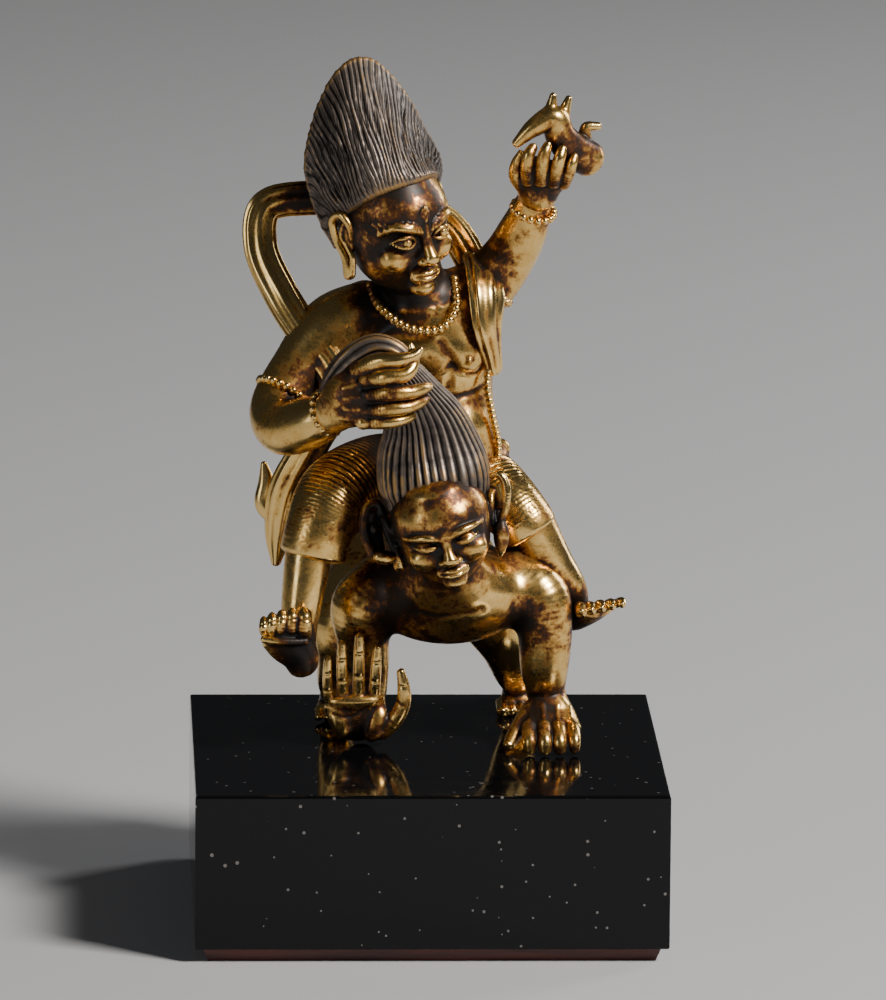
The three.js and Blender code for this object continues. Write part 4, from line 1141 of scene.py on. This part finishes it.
def held_animal():
    clay = Clay((6, -8, 104), (32, 12, 125), FINE_CELL)
    clay.limb(
        [[23, 3, 110.6, 2.6], [20.8, 1.8, 112, 2.6], [18.8, 0.6, 114.4, 2.2], [17.8, 0, 117, 1.9], [15, -0.6, 115.8, 1.4], [12.4, -1, 113.5, 0.7]],
        blend=0.6,
    )
    clay.limb([[17.2, 0, 117.4, 1.1], [17.7, 0, 120.4, 0.5]], blend=0.4)
    clay.limb([[19, 0.6, 117, 1.1], [20, 1, 119.8, 0.5]], blend=0.4)
    clay.limb([[22.8, 3, 112, 1.1], [22.6, 2.8, 115.2, 0.8], [24.4, 3, 115.4, 0.6]], blend=0.4)
    return clay


gilded(new_piece("held_animal", *held_animal().skin()))

# The gilding, its patina and its painted shade
# Fire gilding, bright where it is rubbed, brown to black where dirt and wear have lodged: in hollows, on the hair, the
# hands and the faces. It is also darkened as painted shade where the group and the plinth close round a point, and at
# some listed places where shadow falls. Hollows and this shade are measured from the finished group.
PATINA_AND_SHADE_CELL = 0.5
# Places painted darker, some real stains and some painted shade where shadow falls: centre, reach, strength
STAINS_AND_SHADE = [
    ((-10, -12, 78), 7, 0.45),
    ((-4, -13, 80), 5, 0.5),
    ((-10, -3, 28), 9, 0.34),
    ((-4, -3, 30), 4, 0.4),
    ((17, -5, 27), 8, 0.4),
    ((1.8, -16, 58), 9, 0.34),
    # painted shade on the mount's face, on its side away from the key light
    ((-3.5, -15, 57), 6, 0.25),
    ((-7.5, -11, 58), 5, 0.9),
    ((11, -10, 59), 4, 0.8),
    ((-4, -3, 50), 8, 0.42),
    ((0, -3, 38), 7, 0.35),
    ((15, -4, 41), 5, 0.4),
    ((-3, -5, 100), 11, 0.3),
    # painted shadow on the rider's neck under the chin
    ((-6, 2, 92), 6, 0.6),
    # painted shade in the crotch between the legs
    ((-4, 3, 65), 9, 0.7),
    ((-12, -5, 58), 6, 0.22),
    # painted shade on the scarf behind the rider's head
    ((-14, 15, 104), 8, 0.9),
    # painted shade on the sole of the rider's right foot, which faces down
    ((-18, -13, 40), 6, 0.9),
    ((25, 3, 41), 7, 0.55),
    ((18, 2, 110), 9, 0.5),
    ((9, 5, 97), 5, 0.4),
    ((-17, -1, 80), 5, 0.3),
    ((-14, -3, 84), 5, 0.3),
]


def joined_depth(pieces, low, shape):
    """How full each cell is with metal or plinth."""
    full = np.zeros(shape, np.float32)
    for piece in pieces:
        mesh = piece.data
        mesh.calc_loop_triangles()
        corners = np.zeros(len(mesh.loop_triangles) * 3, np.int32)
        mesh.loop_triangles.foreach_get("vertices", corners)
        at = (points_of(mesh) - low) / PATINA_AND_SHADE_CELL
        grid = openvdb.FloatGrid.createLevelSetFromPolygons(
            at.astype(np.float32), triangles=corners.reshape(-1, 3).astype(np.uint32)
        )
        depth = np.zeros(shape, np.float32)
        grid.copyToArray(depth)
        np.maximum(full, np.clip(0.5 - depth, 0, 1), out=full)
    # The plinth counts as full, so metal near its top darkens: painted shade where the group meets the plinth.
    full[:, :, : int((PLINTH_TOP - low[2]) / PATINA_AND_SHADE_CELL)] = 1
    return full


def points_of(mesh):
    at = np.zeros(len(mesh.vertices) * 3, np.float32)
    mesh.vertices.foreach_get("co", at)
    return at.reshape(-1, 3) / MM


def blurred(full, reach):
    """The mean over a soft ball of cells."""
    for _ in range(2):
        for axis in range(3):
            wide = [(reach + 1, reach) if k == axis else (0, 0) for k in range(3)]
            run = np.cumsum(np.pad(full, wide, mode="edge"), axis=axis, dtype=np.float64)
            count = full.shape[axis]
            ahead = np.take(run, np.arange(2 * reach + 1, 2 * reach + 1 + count), axis=axis)
            behind = np.take(run, np.arange(count), axis=axis)
            full = ((ahead - behind) / (2 * reach + 1)).astype(np.float32)
    return full


def hollows(mesh, rounds=5):
    """How far each point lies under the mean of its neighbours, in millimetres."""
    at = points_of(mesh).astype(np.float64)
    ends = np.zeros(len(mesh.edges) * 2, np.int32)
    mesh.edges.foreach_get("vertices", ends)
    one, two = ends.reshape(-1, 2).T
    degree = np.bincount(ends, minlength=len(at))[:, None]
    soft = at.copy()
    for _ in range(rounds):
        near = np.stack([np.bincount(one, soft[two, k], len(at)) + np.bincount(two, soft[one, k], len(at)) for k in range(3)], 1)
        soft = 0.4 * soft + 0.6 * near / degree
    normal = np.zeros(len(at) * 3, np.float32)
    mesh.vertex_normals.foreach_get("vector", normal)
    return ((soft - at) * normal.reshape(-1, 3)).sum(1)


def keep(mesh, name, values):
    mesh.attributes.new(name, "FLOAT", "POINT").data.foreach_set("value", values.astype(np.float32))


def measure_patina_and_shade(pieces):
    """Writes on every point how closely metal and plinth surround it, for patina and painted shade, how deep in a
    groove, and how stained or painted dark as shade.
    """
    cloud = np.concatenate([points_of(piece.data) for piece in pieces])
    low = cloud.min(0) - 4
    shape = tuple(np.ceil((cloud.max(0) + 4 - low) / PATINA_AND_SHADE_CELL).astype(int))
    full = joined_depth(pieces, low, shape)
    near, broad = blurred(full, 2), blurred(full, 5)
    for piece in pieces:
        mesh = piece.data
        at = points_of(mesh)
        cells = (at - low) / PATINA_AND_SHADE_CELL
        keep(mesh, "patina_and_shade", 0.5 * sampled(near, cells) + 0.5 * sampled(broad, cells))
        keep(mesh, "cavity", np.clip(hollows(mesh) / 0.05, -1, 1))
        stain_and_shade = np.zeros(len(at))
        for centre, reach, strength in STAINS_AND_SHADE:
            far = np.linalg.norm(at - centre, axis=1) / reach
            stain_and_shade = np.maximum(stain_and_shade, strength * np.clip(1.35 - far, 0, 1) ** 0.7)
        keep(mesh, "stain_and_shade", stain_and_shade)


def weighed(node, start, *terms):
    """start + each socket times its weight."""
    total = start
    for socket, weight in terms:
        total = node("ShaderNodeMath", {0: socket, 1: weight, 2: total}, operation="MULTIPLY_ADD").outputs[0]
    return total


def noise_at(node, place, scale, detail, roughness=0.55, warp=0.0):
    inputs = {"Vector": place, "Scale": scale, "Detail": detail, "Roughness": roughness, "Distortion": warp}
    return node("ShaderNodeTexNoise", inputs).outputs["Fac"]


def gilding_patina_and_shade():
    material, shader, node, wire = node_material("gilding_patina_and_shade")
    place = node("ShaderNodeTexCoord").outputs["Object"]
    patina_and_shade, cavity, stain_and_shade = (
        node("ShaderNodeAttribute", attribute_name=name).outputs["Fac"] for name in ("patina_and_shade", "cavity", "stain_and_shade")
    )
    blotch = noise_at(node, place, 150.0, 5.0, 0.62, 0.4)
    mottle = noise_at(node, place, 620.0, 4.0, 0.6, 0.3)
    speck = noise_at(node, place, 2100.0, 2.0)
    # Darker where metal and plinth surround a point and at the listed dark places: part patina and stains, part painted
    # shade.
    level = weighed(
        node, -1.32, (patina_and_shade, 1.25), (cavity, 0.22), (stain_and_shade, 0.8), (blotch, 1.15), (mottle, 0.75), (speck, 0.25)
    )
    colour = ramp(node, level, [
        (0.0, (1.0, 0.68, 0.25)),
        (0.3, (0.86, 0.54, 0.16)),
        (0.42, (0.5, 0.25, 0.06)),
        (0.5, (0.17, 0.06, 0.02)),
        (0.62, (0.035, 0.02, 0.012)),
        (0.9, (0.01, 0.008, 0.007)),
    ])
    wire(colour, "Base Color")
    wire(ramp(node, level, [(0.3, grey(1)), (0.55, grey(0.7)), (0.8, grey(0.35))]), "Metallic")
    wire(ramp(node, weighed(node, 0.0, (level, 1.0), (speck, 0.2)), [(0.1, grey(0.2)), (0.45, grey(0.3)), (0.7, grey(0.42))]), "Roughness")
    height = weighed(node, 0.0, (level, 0.6), (speck, 0.35), (mottle, 0.5))
    bump = node("ShaderNodeBump", {"Height": height, "Strength": 0.22, "Distance": 0.00006}, invert=True)
    wire(bump.outputs["Normal"], "Normal")
    return material


def dark_hair():
    material, shader, node, wire = node_material("dark_hair")
    place = node("ShaderNodeTexCoord").outputs["Object"]
    cavity = node("ShaderNodeAttribute", attribute_name="cavity").outputs["Fac"]
    patina_and_shade = node("ShaderNodeAttribute", attribute_name="patina_and_shade").outputs["Fac"]
    blotch = noise_at(node, place, 170.0, 4.0)
    mottle = noise_at(node, place, 900.0, 4.0, 0.6)
    # Darker where metal and plinth surround a point: part patina, part painted shade.
    level = weighed(node, -0.22, (cavity, 0.33), (patina_and_shade, 0.5), (blotch, 0.45), (mottle, 0.45))
    colour = ramp(node, level, [
        (0.12, (0.42, 0.25, 0.1)),
        (0.24, (0.2, 0.16, 0.13)),
        (0.45, (0.075, 0.06, 0.052)),
        (0.65, (0.018, 0.014, 0.012)),
        (0.85, (0.004, 0.003, 0.003)),
    ])
    wire(colour, "Base Color")
    shader.inputs["Metallic"].default_value = 0.85
    wire(ramp(node, mottle, [(0.3, grey(0.36)), (0.7, grey(0.52))]), "Roughness")
    bump = node("ShaderNodeBump", {"Height": mottle, "Strength": 0.3, "Distance": 0.00005})
    wire(bump.outputs["Normal"], "Normal")
    return material


measure_patina_and_shade([piece for piece, _ in casting])
gold, dark = gilding_patina_and_shade(), dark_hair()
for piece, is_hair in casting:
    piece.data.materials.append(dark if is_hair else gold)
